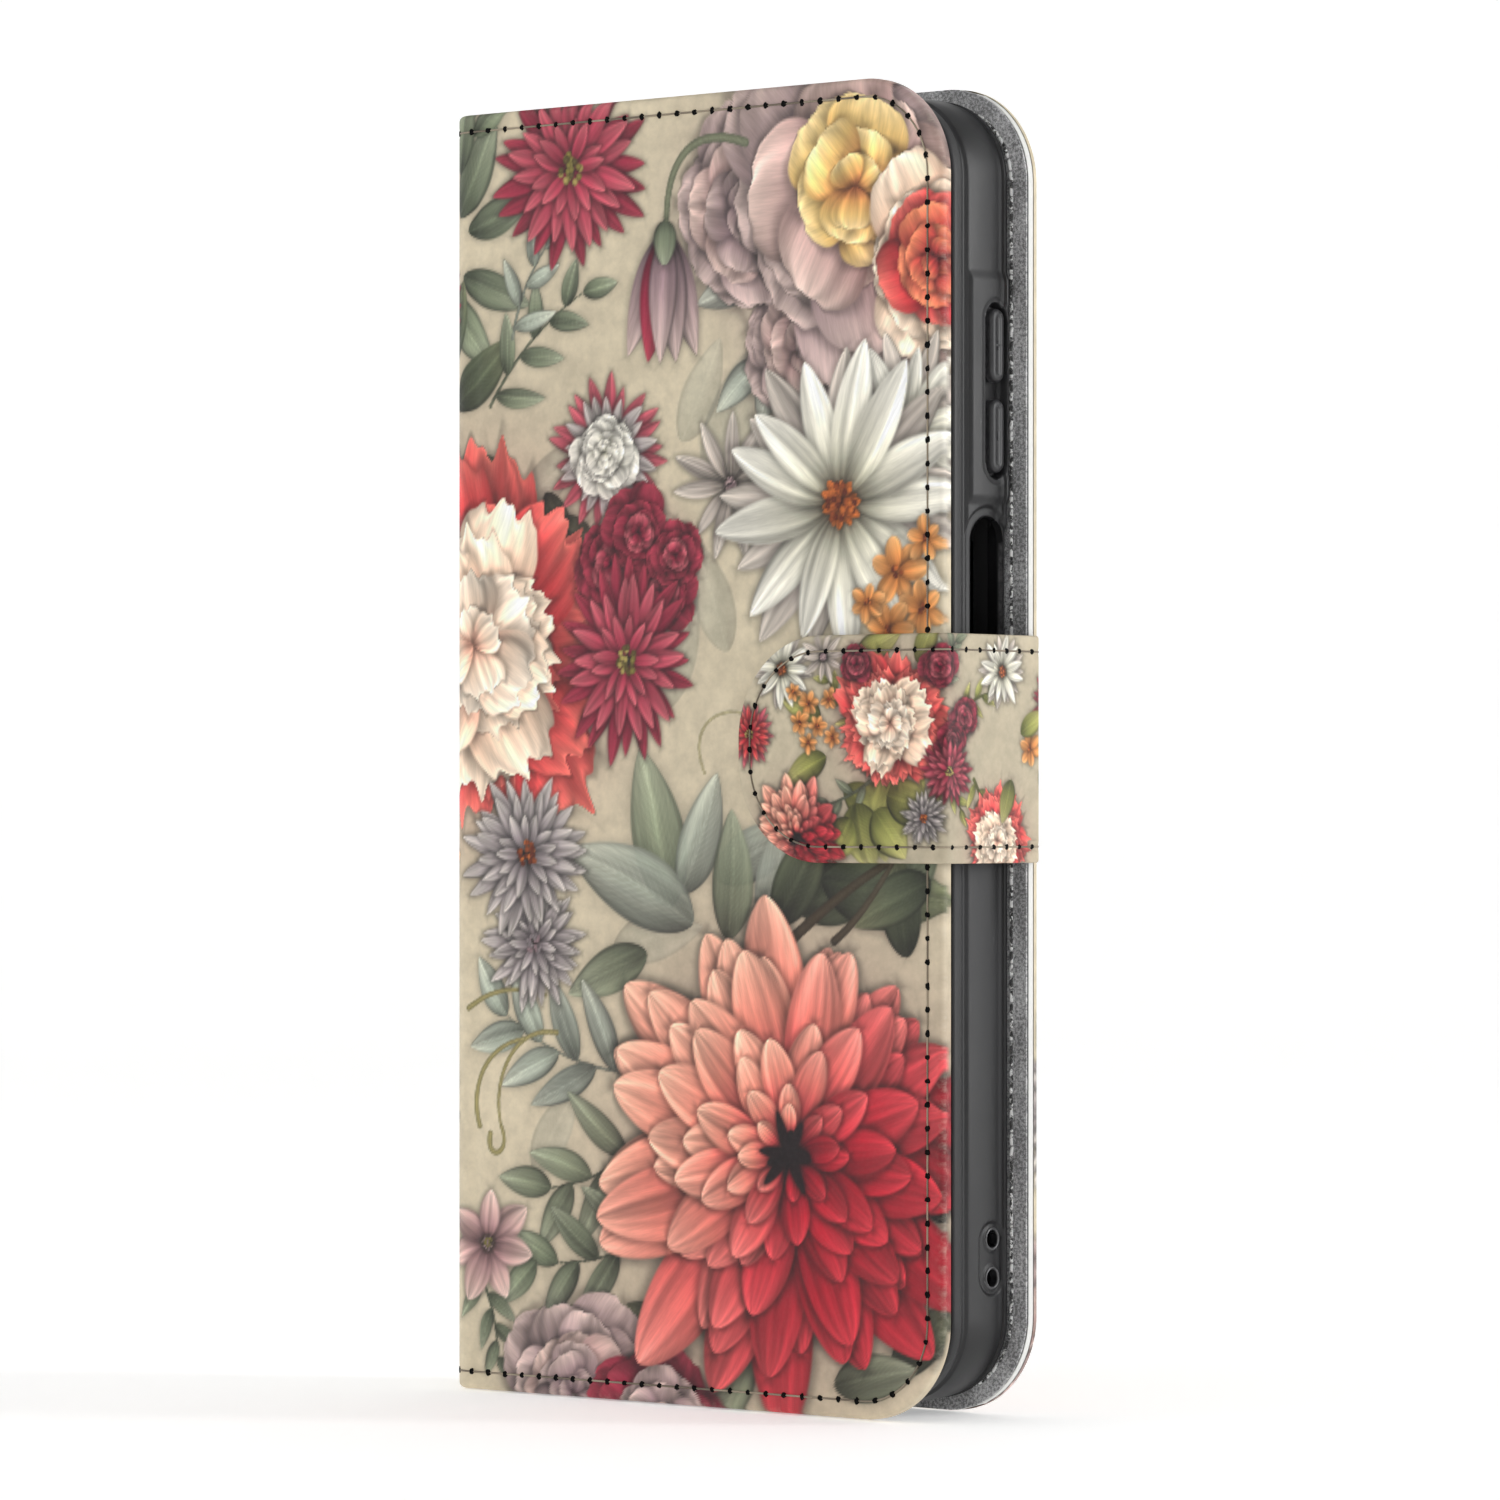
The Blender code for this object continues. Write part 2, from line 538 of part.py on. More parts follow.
def build_front_cover(pivot):
    """The front cover: a skin turned round its edges, a board with a magnet set in it, a lining."""
    skin, board, lining = layers(FRONT_Y, 1, SKIN, BOARD, LINING)
    start = FOLD_X + FOLD_GAP / 2
    front_skin = prism("front_skin", "printed_leather", "Y", cover_outline(start, FRONT_FREE_X),
                       (skin[0], lining[1]), pivot)
    hollow = cover_outline(start - MM, FRONT_FREE_X, TURNED_EDGE)
    cut(front_skin, "front_skin_hollow", "Y", hollow, (skin[1], lining[1] + MM))
    inner = cover_outline(BOARD_X, FRONT_FREE_X, TURNED_EDGE + GLUE_LINE)
    prism("front_board", "board", "Y", inner, board, pivot, holes=[magnet_outline(GLUE_LINE)])
    prism("front_magnet", "magnet", "Y", magnet_outline(), board, pivot)
    prism("front_lining", "suede_lining", "Y", inner, lining, pivot)
    seam = thread_outline(start, FRONT_FREE_X, 0, COVER_HEIGHT, COVER_CORNER, SEAM_INSET)
    prism("front_stitching", "thread", "Y", seam, (FRONT_Y - THREAD_LIFT, FRONT_Y - THREAD_PROUD),
          pivot)
    build_pockets(pivot, lining[1])


def build_pockets(pivot, lining_face):
    """A full-height cash pocket under three stepped card pockets, and the cards' seam."""
    sheets = layers(lining_face + GLUE_LINE, 1, *[POCKET_SHEET] * (1 + len(CARD_POCKET_TOPS)))
    free_x = FRONT_FREE_X - CASH_POCKET_INSET
    cash = rounded_rectangle(
        (CASH_POCKET_X, CASH_POCKET_INSET),
        (free_x, COVER_HEIGHT - CASH_POCKET_INSET),
        0,
        COVER_CORNER - CASH_POCKET_INSET,
    )
    prism("cash_pocket", "pocket_leather", "Y", cash, sheets[0], pivot)
    for (name, top), span in zip(CARD_POCKET_TOPS, sheets[1:]):
        sheet = rounded_rectangle(
            (CARD_POCKET_X[0], CARD_POCKET_LOW), (CARD_POCKET_X[1], top), 0, 0
        )
        prism(f"card_pocket_{name}", "pocket_leather", "Y", sheet, span, pivot)
    face = sheets[-1][1]
    top = CARD_POCKET_TOPS[-1][1] - SEAM_INSET
    middle = sum(CARD_POCKET_X) / 2
    half = (CARD_POCKET_X[1] - CARD_POCKET_X[0]) / 2
    path = thread_outline(top, CARD_POCKET_LOW, middle - half, middle + half,
                          CARD_POCKET_CORNER, SEAM_INSET)
    seam = [(x, z) for z, x in path]
    prism("pocket_stitching", "thread", "Y", seam, (face + THREAD_LIFT, face + THREAD_PROUD), pivot)


def build_strap(bridge_pivot, tab_pivot):
    """The strap: a bridge over the free edge, and a tab with a magnet that lies on the front."""
    rear = REAR_Y - SKIN - GLUE_LINE
    near = FRONT_Y - BRIDGE_OVERREACH
    lining, skin = layers(BRIDGE_X, 1, BRIDGE_LINING, BRIDGE_SKIN)
    for name, span, material in (
        ("strap_bridge_lining", lining, "suede_lining"),
        ("strap_bridge_skin", skin, "printed_leather"),
    ):
        outline = rounded_rectangle((near, STRAP_LOW), (rear, STRAP_HIGH), 0, 0)
        prism(name, material, "X", outline, span, bridge_pivot)
    face = skin[1]
    for name, z in (
        ("bridge_stitching_bottom", STRAP_LOW + STRAP_SEAM_INSET),
        ("bridge_stitching_top", STRAP_HIGH - STRAP_SEAM_INSET),
    ):
        low, high = z - THREAD_WIDTH / 2, z + THREAD_WIDTH / 2
        outline = rounded_rectangle((near, low), (rear - BRIDGE_SEAM_START, high), 0, 0)
        prism(name, "thread", "X", outline, (face + THREAD_LIFT, face + THREAD_PROUD), bridge_pivot)
    build_tab(tab_pivot)


def build_tab(pivot):
    lining, magnet, skin = layers(TAB_Y, -1, TAB_LINING, TAB_MAGNET, TAB_SKIN)
    tab = rounded_rectangle((TAB_TIP_X, STRAP_LOW), (TAB_END_X, STRAP_HIGH), STRAP_TIP, 0)
    prism("strap_tab_lining", "suede_lining", "Y", tab, lining, pivot)
    prism("strap_tab_magnet", "magnet", "Y", magnet_outline(), magnet, pivot)
    prism("strap_tab_skin", "printed_leather", "Y", tab, skin, pivot)
    seam = thread_outline(TAB_END_X, TAB_TIP_X, STRAP_LOW, STRAP_HIGH, STRAP_TIP, STRAP_SEAM_INSET)
    face = skin[1]
    prism("strap_tab_stitching", "thread", "Y", seam, (face - THREAD_LIFT, face - THREAD_PROUD),
          pivot)


def main():
    for old in list(bpy.data.objects):
        bpy.data.objects.remove(old, do_unlink=True)
    spine_fold = new_pivot("spine_fold", (FOLD_X, REAR_Y + FOLD_AXIS_OUTSIDE, 0))
    cover_fold = new_pivot("cover_fold", (FOLD_X, FRONT_Y - FOLD_AXIS_OUTSIDE, 0), spine_fold)
    bridge_middle = BRIDGE_X + BRIDGE_THICKNESS / 2
    strap_base = new_pivot("strap_base", (bridge_middle, REAR_Y - SKIN - 2 * GLUE_LINE, 0))
    strap_tab = new_pivot("strap_tab", (FREE_X, TAB_Y - TAB_HINGE_DEPTH, 0), strap_base)
    build_back_cover()
    build_shell()
    build_keys()
    build_spine(spine_fold)
    build_front_cover(cover_fold)
    build_strap(strap_base, strap_tab)


main()
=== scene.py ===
import math

import bmesh
import bpy
import numpy as np
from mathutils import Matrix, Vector
from mathutils.geometry import delaunay_2d_cdt


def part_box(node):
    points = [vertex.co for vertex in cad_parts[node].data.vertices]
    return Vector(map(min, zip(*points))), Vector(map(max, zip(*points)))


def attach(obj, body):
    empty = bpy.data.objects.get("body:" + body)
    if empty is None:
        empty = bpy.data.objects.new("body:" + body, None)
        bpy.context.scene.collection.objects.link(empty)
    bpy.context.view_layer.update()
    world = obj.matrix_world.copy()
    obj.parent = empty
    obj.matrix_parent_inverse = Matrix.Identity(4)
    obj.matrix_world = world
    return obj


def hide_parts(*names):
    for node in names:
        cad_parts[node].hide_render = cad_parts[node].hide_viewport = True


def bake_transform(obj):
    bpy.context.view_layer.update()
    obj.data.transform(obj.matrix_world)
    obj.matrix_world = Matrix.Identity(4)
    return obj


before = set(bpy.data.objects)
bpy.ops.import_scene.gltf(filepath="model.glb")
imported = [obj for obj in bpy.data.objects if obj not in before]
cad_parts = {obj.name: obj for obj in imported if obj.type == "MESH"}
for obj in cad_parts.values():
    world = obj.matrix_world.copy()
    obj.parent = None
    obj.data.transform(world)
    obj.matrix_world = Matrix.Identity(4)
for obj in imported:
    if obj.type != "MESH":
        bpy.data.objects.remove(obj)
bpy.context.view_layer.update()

MM = 0.001

# Places taken from the CAD model.
SPINE_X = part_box("spine_skin")[0].x
FRONT_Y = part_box("front_skin")[0].y
REAR_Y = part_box("back_skin")[1].y
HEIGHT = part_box("front_skin")[1].z
FREE_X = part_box("back_skin")[1].x
FRONT_FREE_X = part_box("front_skin")[1].x
SHELL_LOW, SHELL_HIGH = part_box("inner_shell")
STRAP_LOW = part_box("strap_tab_skin")[0].z
STRAP_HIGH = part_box("strap_tab_skin")[1].z
TAB_FACE_Y, TAB_BACK_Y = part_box("strap_tab_skin")[0].y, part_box("strap_tab_lining")[1].y
TAB_TIP_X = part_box("strap_tab_skin")[0].x
BRIDGE_FACE_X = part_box("strap_bridge_skin")[1].x
BRIDGE_BACK_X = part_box("strap_bridge_lining")[0].x

# The covers.
CORNER = 13.0 * MM
FOLD_RADIUS = 3.5 * MM
FOLD_START_X = SPINE_X + FOLD_RADIUS  # the covers are flat from here to their free edges
QUARTER = FOLD_RADIUS * math.pi / 2
SPINE_FLAT = REAR_Y - FRONT_Y - 2 * FOLD_RADIUS
U_MIDDLE = FOLD_START_X - QUARTER - SPINE_FLAT / 2
CREASE_X = FOLD_START_X + 0.15 * MM  # the covers fold about this line
# Where the sheets need close vertices to bend well.
BEND_STATIONS = np.r_[np.arange(FOLD_START_X - QUARTER, FOLD_START_X - 0.5 * MM, 0.3 * MM),
                      CREASE_X + np.linspace(-0.5, 0.5, 15) * MM]
SEAM_INSET = 2.4 * MM
LINING_SEAM_INSET = 2.55 * MM
STITCH_PITCH = 3.05 * MM
CREASE_U = SPINE_X + 5.0 * MM
TURNED_RADIUS = 0.45 * MM  # a wrapped edge is at most this round where it turns under

# The strap.
STRAP_TIP = 13.5 * MM
STRAP_SEAM_INSET = 2.1 * MM
BASE_RADIUS = 1.3 * MM
BEND_RADIUS = 1.5 * MM
STRAP_HIDDEN = 2.2 * MM  # the strap's end that is sewn in under the back cover's skin
STRAP_OUT_Y = REAR_Y - 0.62 * MM

# The camera opening, through the shell and, a little wider, through the back cover.
CAMERA_X, CAMERA_Z = FREE_X - 20 * MM, 141 * MM
CAMERA_HALF = (12.0 * MM, 22.0 * MM)
CAMERA_CORNER = 7.0 * MM


def camera_outline(margin):
    """The camera opening, wider by a margin: its middle, half size and corner radius."""
    half = (CAMERA_HALF[0] + margin, CAMERA_HALF[1] + margin)
    return (CAMERA_X, CAMERA_Z), half, CAMERA_CORNER + margin


def smooth(low, high, value):
    """0 below low, 1 above high and a smooth step between them."""
    t = np.clip((np.asarray(value, float) - low) / (high - low), 0, 1)
    return t * t * (3 - 2 * t)


def linear(*colour):
    """A display colour from 0 to 255 as scene-linear values."""
    c = np.array(colour, float) / 255
    return np.where(c <= 0.04045, c / 12.92, ((c + 0.055) / 1.055) ** 2.4)


# ---------------------------------------------------------------- shapes

def round_box(x, z, centre, half, radius):
    """Distance from points to the edge of a rounded rectangle, below zero inside it."""
    qx = np.abs(x - centre[0]) - half[0] + radius
    qz = np.abs(z - centre[1]) - half[1] + radius
    outside = np.hypot(np.maximum(qx, 0), np.maximum(qz, 0))
    return outside + np.minimum(np.maximum(qx, qz), 0) - radius


def round_path(centre, half, radius, steps=12):
    """The outline of a rounded rectangle, anticlockwise."""
    points = []
    for sx, sz, start in ((1, 1, 0), (-1, 1, 90), (-1, -1, 180), (1, -1, 270)):
        cx, cz = centre[0] + sx * (half[0] - radius), centre[1] + sz * (half[1] - radius)
        for i in range(steps + 1):
            a = math.radians(start + 90 * i / steps)
            point = (cx + radius * math.cos(a), cz + radius * math.sin(a))
            if not points or math.dist(point, points[-1]) > 1e-6:
                points.append(point)
    return points[:-1] if math.dist(points[0], points[-1]) < 1e-6 else points


def mesh_object(name, vertices, faces, smooth_angle=40.0):
    mesh = bpy.data.meshes.new(name)
    mesh.from_pydata(np.asarray(vertices, float).tolist(), [], faces)
    mesh.validate()
    mesh.update()
    made = bpy.data.objects.new(name, mesh)
    bpy.context.scene.collection.objects.link(made)
    mesh.shade_smooth()
    if smooth_angle:
        mesh.set_sharp_from_angle(angle=math.radians(smooth_angle))
    return made


def keep(piece, name, values, kind="FLOAT"):
    """Stores one value, or one colour, for each vertex, for the piece's material to read."""
    values = np.asarray(values, np.float32)
    if kind == "FLOAT_COLOR":
        values = np.c_[values, np.ones(len(values), np.float32)]
    attribute = piece.data.attributes.new(name, kind, "POINT")
    field = {"FLOAT": "value", "FLOAT_VECTOR": "vector", "FLOAT_COLOR": "color"}[kind]
    attribute.data.foreach_set(field, values.ravel())


def grid_faces(rows, columns, start=0, flip=False):
    i = np.arange(rows - 1)[:, None] * columns + np.arange(columns - 1)[None, :] + start
    quads = np.stack([i, i + 1, i + columns + 1, i + columns], -1).reshape(-1, 4)
    return quads[:, ::-1] if flip else quads


def tube_faces(base, rings, n):
    """Faces between rings of n vertices that follow each other from the index base."""
    starts = [(base + k * n + j, base + k * n + (j + 1) % n)
              for k in range(rings - 1) for j in range(n)]
    return [[a, b, b + n, a + n] for a, b in starts]


def join_rings(work, rings):
    """Faces between closed rings of vertices of one length."""
    for a, b in zip(rings[:-1], rings[1:]):
        for k in range(len(a)):
            j = (k + 1) % len(a)
            work.faces.new((a[k], a[j], b[j], b[k]))


def finish_mesh(work, name, angle=35.0):
    bmesh.ops.recalc_face_normals(work, faces=work.faces[:])
    mesh = bpy.data.meshes.new(name)
    work.to_mesh(mesh)
    work.free()
    mesh.shade_smooth()
    mesh.set_sharp_from_angle(angle=math.radians(angle))
    made = bpy.data.objects.new(name, mesh)
    bpy.context.scene.collection.objects.link(made)
    return made


# The section of the folded cover: from the middle of the spine to a cover's free edge.

def cover_place(side):
    """A function from (u, z, depth) to a place. side is -1 for the front half and 1 for the rear."""
    face = FRONT_Y if side < 0 else REAR_Y

    def place(u, z, depth):
        u, z, depth = np.broadcast_arrays(u, z, depth)
        turn = np.clip((FOLD_START_X - u) / FOLD_RADIUS, 0, math.pi / 2)
        straight = np.maximum(FOLD_START_X - QUARTER - u, 0)
        radius = FOLD_RADIUS - depth
        x = np.where(u > FOLD_START_X, u, FOLD_START_X - radius * np.sin(turn))
        y = face - side * (FOLD_RADIUS - radius * np.cos(turn) + straight)
        return np.stack([x, y, z], -1)

    return place


def strap_place(u, z, depth):
    """u is zero where the strap leaves the back cover, and grows towards its tip. Depth is a share of
    the strap's thickness."""
    u, z, depth = np.broadcast_arrays(u, z, depth)
    base_turn = BASE_RADIUS * math.pi / 2
    bridge = (STRAP_OUT_Y - BASE_RADIUS) - (TAB_FACE_Y + BEND_RADIUS)
    bend_turn = BEND_RADIUS * math.pi / 2
    # The tab holds a magnet, so it is thicker than the bridge.
    thick = smooth(base_turn + bridge - 2 * MM, base_turn + bridge + bend_turn + 2 * MM, u)
    bridge_thickness = BRIDGE_FACE_X - BRIDGE_BACK_X
    tab_thickness = TAB_BACK_Y - TAB_FACE_Y
    depth = depth * (bridge_thickness + (tab_thickness - bridge_thickness) * thick)
    x = np.where(u < 0, BRIDGE_FACE_X - BASE_RADIUS + u, 0.0)
    y = np.where(u < 0, STRAP_OUT_Y - depth, 0.0)
    a = np.clip(u / BASE_RADIUS, 0, math.pi / 2)
    on = (u >= 0) & (u < base_turn)
    x = np.where(on, BRIDGE_FACE_X - BASE_RADIUS + (BASE_RADIUS - depth) * np.sin(a), x)
    y = np.where(on, STRAP_OUT_Y - BASE_RADIUS + (BASE_RADIUS - depth) * np.cos(a), y)
    v = u - base_turn
    on = (v >= 0) & (v < bridge)
    x = np.where(on, BRIDGE_FACE_X - depth, x)
    y = np.where(on, STRAP_OUT_Y - BASE_RADIUS - v, y)
    v = v - bridge
    a = np.clip(v / BEND_RADIUS, 0, math.pi / 2)
    on = (v >= 0) & (v < bend_turn)
    x = np.where(on, BRIDGE_FACE_X - BEND_RADIUS + (BEND_RADIUS - depth) * np.cos(a), x)
    y = np.where(on, TAB_FACE_Y + BEND_RADIUS - (BEND_RADIUS - depth) * np.sin(a), y)
    v = v - bend_turn
    on = v >= 0
    x = np.where(on, BRIDGE_FACE_X - BEND_RADIUS - v, x)
    y = np.where(on, TAB_FACE_Y + depth, y)
    return np.stack([x, y, z], -1)


STRAP_BRIDGE_U = (
    BASE_RADIUS * math.pi / 2,
    BASE_RADIUS * math.pi / 2 + STRAP_OUT_Y - BASE_RADIUS - TAB_FACE_Y - BEND_RADIUS,
)
STRAP_MIDDLE_U = sum(STRAP_BRIDGE_U) / 2
STRAP_TAB_U = STRAP_BRIDGE_U[1] + BEND_RADIUS * math.pi / 2
STRAP_TIP_U = STRAP_TAB_U + BRIDGE_FACE_X - BEND_RADIUS - TAB_TIP_X


class Panel:
    """The outline of a sheet in (u, z): open at u = start and, if it has a free end, round there."""

    def __init__(self, start, end, low, high, corner=0.0, free=True):
        self.start, self.end, self.low, self.high = start, end, low, high
        self.corner, self.free = corner, free

    def inset(self, by):
        return Panel(self.start, self.end - (by if self.free else 0), self.low + by,
                     self.high - by, max(self.corner - by, 0), self.free)

    def edge(self, z):
        """Where the outline's free end is at each height."""
        if not self.free or not self.corner:
            return np.full_like(z, self.end)
        near = np.minimum(z - self.low, self.high - z)
        drop = np.clip(self.corner - near, 0, self.corner)
        return self.end - self.corner + np.sqrt(np.maximum(self.corner**2 - drop**2, 0))

    def distance(self, u, z):
        """How far inside the outline points are. The open side doesn't count."""
        near = np.minimum(z - self.low, self.high - z)
        if not self.free:
            return near
        far = self.end - u
        if self.corner:
            round_part = self.corner - np.hypot(self.corner - far, self.corner - near)
            in_corner = (far < self.corner) & (near < self.corner)
            return np.where(in_corner, round_part, np.minimum(far, near))
        return np.minimum(far, near)

    def walk(self, inset, start=None):
        """Points of the outline at an inset: along the low side, round the end and back."""
        p = self.inset(inset)
        first = self.start if start is None else start
        if not p.free:
            return [[(first, p.low), (p.end, p.low)], [(first, p.high), (p.end, p.high)]]
        line = [(first, p.low)]
        r = max(p.corner, 0.05 * MM)
        for cz, a0 in ((p.low + r, -90), (p.high - r, 0)):
            line += [(p.end - r + r * math.cos(math.radians(a0 + 90 * i / 24)),
                      cz + r * math.sin(math.radians(a0 + 90 * i / 24))) for i in range(25)]
        line.append((first, p.high))
        return [line]


def stations(low, high, step, edge, low_edge=True, high_edge=True):
    """Positions from low to high, a step apart, and closer within a rounded edge."""
    turn = [edge * (1 - math.cos(math.radians(a))) for a in (0, 12, 24, 36, 48, 60, 72, 84)]
    first = [low + t for t in turn] if low_edge else [low]
    last = [high - t for t in turn][::-1] if high_edge else [high]
    start = first[-1] + (0.3 * edge if low_edge else 0)
    stop = last[0] - (0.3 * edge if high_edge else 0)
    count = max(int(round((stop - start) / step)), 1)
    middle = np.linspace(start, stop, count + 1)
    middle = middle[(1 if not low_edge else 0):(None if high_edge else -1)]
    return np.array(first + list(middle) + last)


def build_sheet(name, panel, place, step, face, down, edge, bottom, margin=0.0, relief=None,
                hole=None, unit=1.0, bends=None):
    """A sheet's face with its edges rounded over, its sides, and a margin turned under.

    face is the depth of its face and down the direction of its sides, 1 away from the print. edge is
    the radius of the rounding, bottom the depth that the sides reach, and relief adds a depth at
    each point. hole gives the distance to a hole's outline, unit is the length of one unit of depth
    and bends are positions that need close vertices."""
    z = stations(panel.low, panel.high, step, edge)
    along = stations(0, 1, step / (panel.end - panel.start), edge / (panel.end - panel.start),
                     low_edge=False, high_edge=panel.free)
    if bends is not None:
        along = np.sort(np.r_[along, (bends - panel.start) / (panel.end - panel.start)])
        gap = 0.03 * MM / (panel.end - panel.start)
        along = along[np.r_[True, np.diff(along) > gap]]
    tail = (1 - along) * (panel.end - panel.start)
    length = panel.edge(z) - panel.start
    # Stations keep their distance from the free end near it, and stretch elsewhere.
    near = smooth(8 * MM, 2 * MM, tail) if panel.free else np.zeros_like(tail)
    stretch = along[None, :] * length[:, None]
    fixed = length[:, None] - tail[None, :]
    u = panel.start + stretch * (1 - near) + fixed * near
    zz = np.repeat(z[:, None], len(along), 1)
    if hole is not None:
        u, zz = snap(u, zz, hole, 0.62 * step)
    d = np.maximum(panel.distance(u, zz), 0)
    over = np.maximum(edge - d, 0)
    drop = edge - np.sqrt(np.maximum(edge**2 - over**2, 0))
    depth = face + down * drop / unit
    if relief is not None:
        depth = depth + down * relief(u, zz, d) / unit
    vertices = [place(u, zz, depth).reshape(-1, 3)]
    start_u, start_z = u.ravel(), zz.ravel()
    flat_u, flat_z = [start_u], [start_z]
    rows, columns = u.shape
    faces = grid_faces(rows, columns)
    if hole is not None:
        inside = hole(u, zz).ravel() < -1e-6
        faces = faces[~inside[faces].any(1)]
    faces = faces.tolist()
    # The boundary, from the open side along the low edge, round the end and back.
    low_row = list(range(columns))
    end_column = [i * columns + columns - 1 for i in range(1, rows)]
    high_row = [(rows - 1) * columns + i for i in range(columns - 2, -1, -1)]
    if panel.free:
        loops = [low_row + end_column + high_row]
    else:
        loops = [low_row, [rows * columns - 1] + high_row]
    count = rows * columns
    side = [(0.0, face + down * edge / unit * 1.02)]
    reach = abs(bottom - face) * unit - edge
    if margin:
        under = min(edge, TURNED_RADIUS)
        side += [(under * (1 - math.cos(a)), bottom - down * under / unit * (1 - math.sin(a)))
                 for a in np.radians([0, 22, 45, 67, 90])]
    side.append((margin, bottom))
    for loop in loops:
        bu, bz = start_u[loop], start_z[loop]
        nu, nz = inward(panel, bu, bz)
        previous = loop
        for step_down, (offset, level) in enumerate(side):
            ru, rz = bu + nu * offset, bz + nz * offset
            vertices.append(place(ru, rz, np.full_like(ru, level)))
            # The pattern runs on round the edge.
            out = (reach if step_down else 0.0) + offset
            flat_u.append(bu - nu * out)
            flat_z.append(bz - nz * out)
            ring = list(range(count, count + len(loop)))
            count += len(loop)
            for i in range(len(loop) - 1):
                faces.append([previous[i + 1], previous[i], ring[i], ring[i + 1]])
            previous = ring
    vertices = np.concatenate(vertices)
    made = mesh_object(name, vertices, faces, 50.0)
    all_u, all_z = np.concatenate(flat_u), np.concatenate(flat_z)
    if hole is not None:
        ends = wall_hole(made, hole, all_u, all_z, place, bottom)
        all_u, all_z = np.r_[all_u, all_u[ends]], np.r_[all_z, all_z[ends]]
    keep(made, "edge", np.exp(-np.abs(panel.distance(all_u, all_z)) / (0.4 * MM)))
    keep(made, "sheet", np.c_[all_u, np.zeros_like(all_u), all_z], "FLOAT_VECTOR")
    fix_normals(made)
    return made, all_u, all_z


def inward(panel, u, z):
    """The direction into the panel from points on its outline."""
    nz = np.where(z < (panel.low + panel.high) / 2, 1.0, -1.0)
    if not panel.free:
        return np.zeros_like(u), nz
    r = max(panel.corner, 1e-6)
    cu = np.where(u > panel.end - r, panel.end - r, u)
    near = np.minimum(z - panel.low, panel.high - z)
    cz = np.where(near < r, np.where(nz > 0, panel.low + r, panel.high - r), z)
    du, dz = cu - u, cz - z
    dz = np.where((du == 0) & (dz == 0), nz, dz)
    du = np.where((near >= r) & (u > panel.end - 1e-6), -1.0, du)
    size = np.hypot(du, dz)
    size[size == 0] = 1
    return du / size, dz / size


def snap(u, z, hole, reach, on=True):
    """Moves the grid points within reach of a hole's outline onto it, where on is true."""
    e = 1e-5
    for _ in range(3):
        sd = hole(u, z)
        gu = (hole(u + e, z) - hole(u - e, z)) / (2 * e)
        gz = (hole(u, z + e) - hole(u, z - e)) / (2 * e)
        near = on & (np.abs(sd) < reach)
        size = np.maximum(gu**2 + gz**2, 1e-9)
        u = np.where(near, u - sd * gu / size, u)
        z = np.where(near, z - sd * gz / size, z)
    return u, z


def wall_hole(piece, hole, u, z, place, bottom):
    """Side walls for a hole, from the face to the bottom depth."""
    work = bmesh.new()
    work.from_mesh(piece.data)
    work.verts.ensure_lookup_table()
    on = np.abs(hole(u, z)) < 2e-6
    edges = [e for e in work.edges if len(e.link_faces) == 1
             and on[e.verts[0].index] and on[e.verts[1].index]]
    made = {}
    ends = sorted({v.index for e in edges for v in e.verts})
    if ends:
        at = place(u[ends], z[ends], np.full(len(ends), bottom))
        for index, p in zip(ends, at):
            made[index] = work.verts.new(p)
        for e in edges:
            a, b = e.verts
            work.faces.new((a, b, made[b.index], made[a.index]))
    work.to_mesh(piece.data)
    work.free()
    return ends


def fix_normals(piece):
    work = bmesh.new()
    work.from_mesh(piece.data)
    bmesh.ops.recalc_face_normals(work, faces=work.faces[:])
    work.to_mesh(piece.data)
    work.free()


def resample(line, pitch):
    """Stations an even distance near pitch apart along a line: that distance, and their track."""
    line = np.array(line)
    steps = np.hypot(*np.diff(line, axis=0).T)
    total = np.concatenate([[0], np.cumsum(steps)])
    count = int(round(total[-1] / pitch))
    at = (np.arange(count) + 0.5) * total[-1] / count
    return total[-1] / count, (line, total, at)


def lay(track, offsets):
    """Points at offsets along a track from each of its stations."""
    line, total, at = track
    s = np.clip(at[:, None] + offsets[None, :], 0, total[-1])
    return np.interp(s, total, line[:, 0]), np.interp(s, total, line[:, 1])


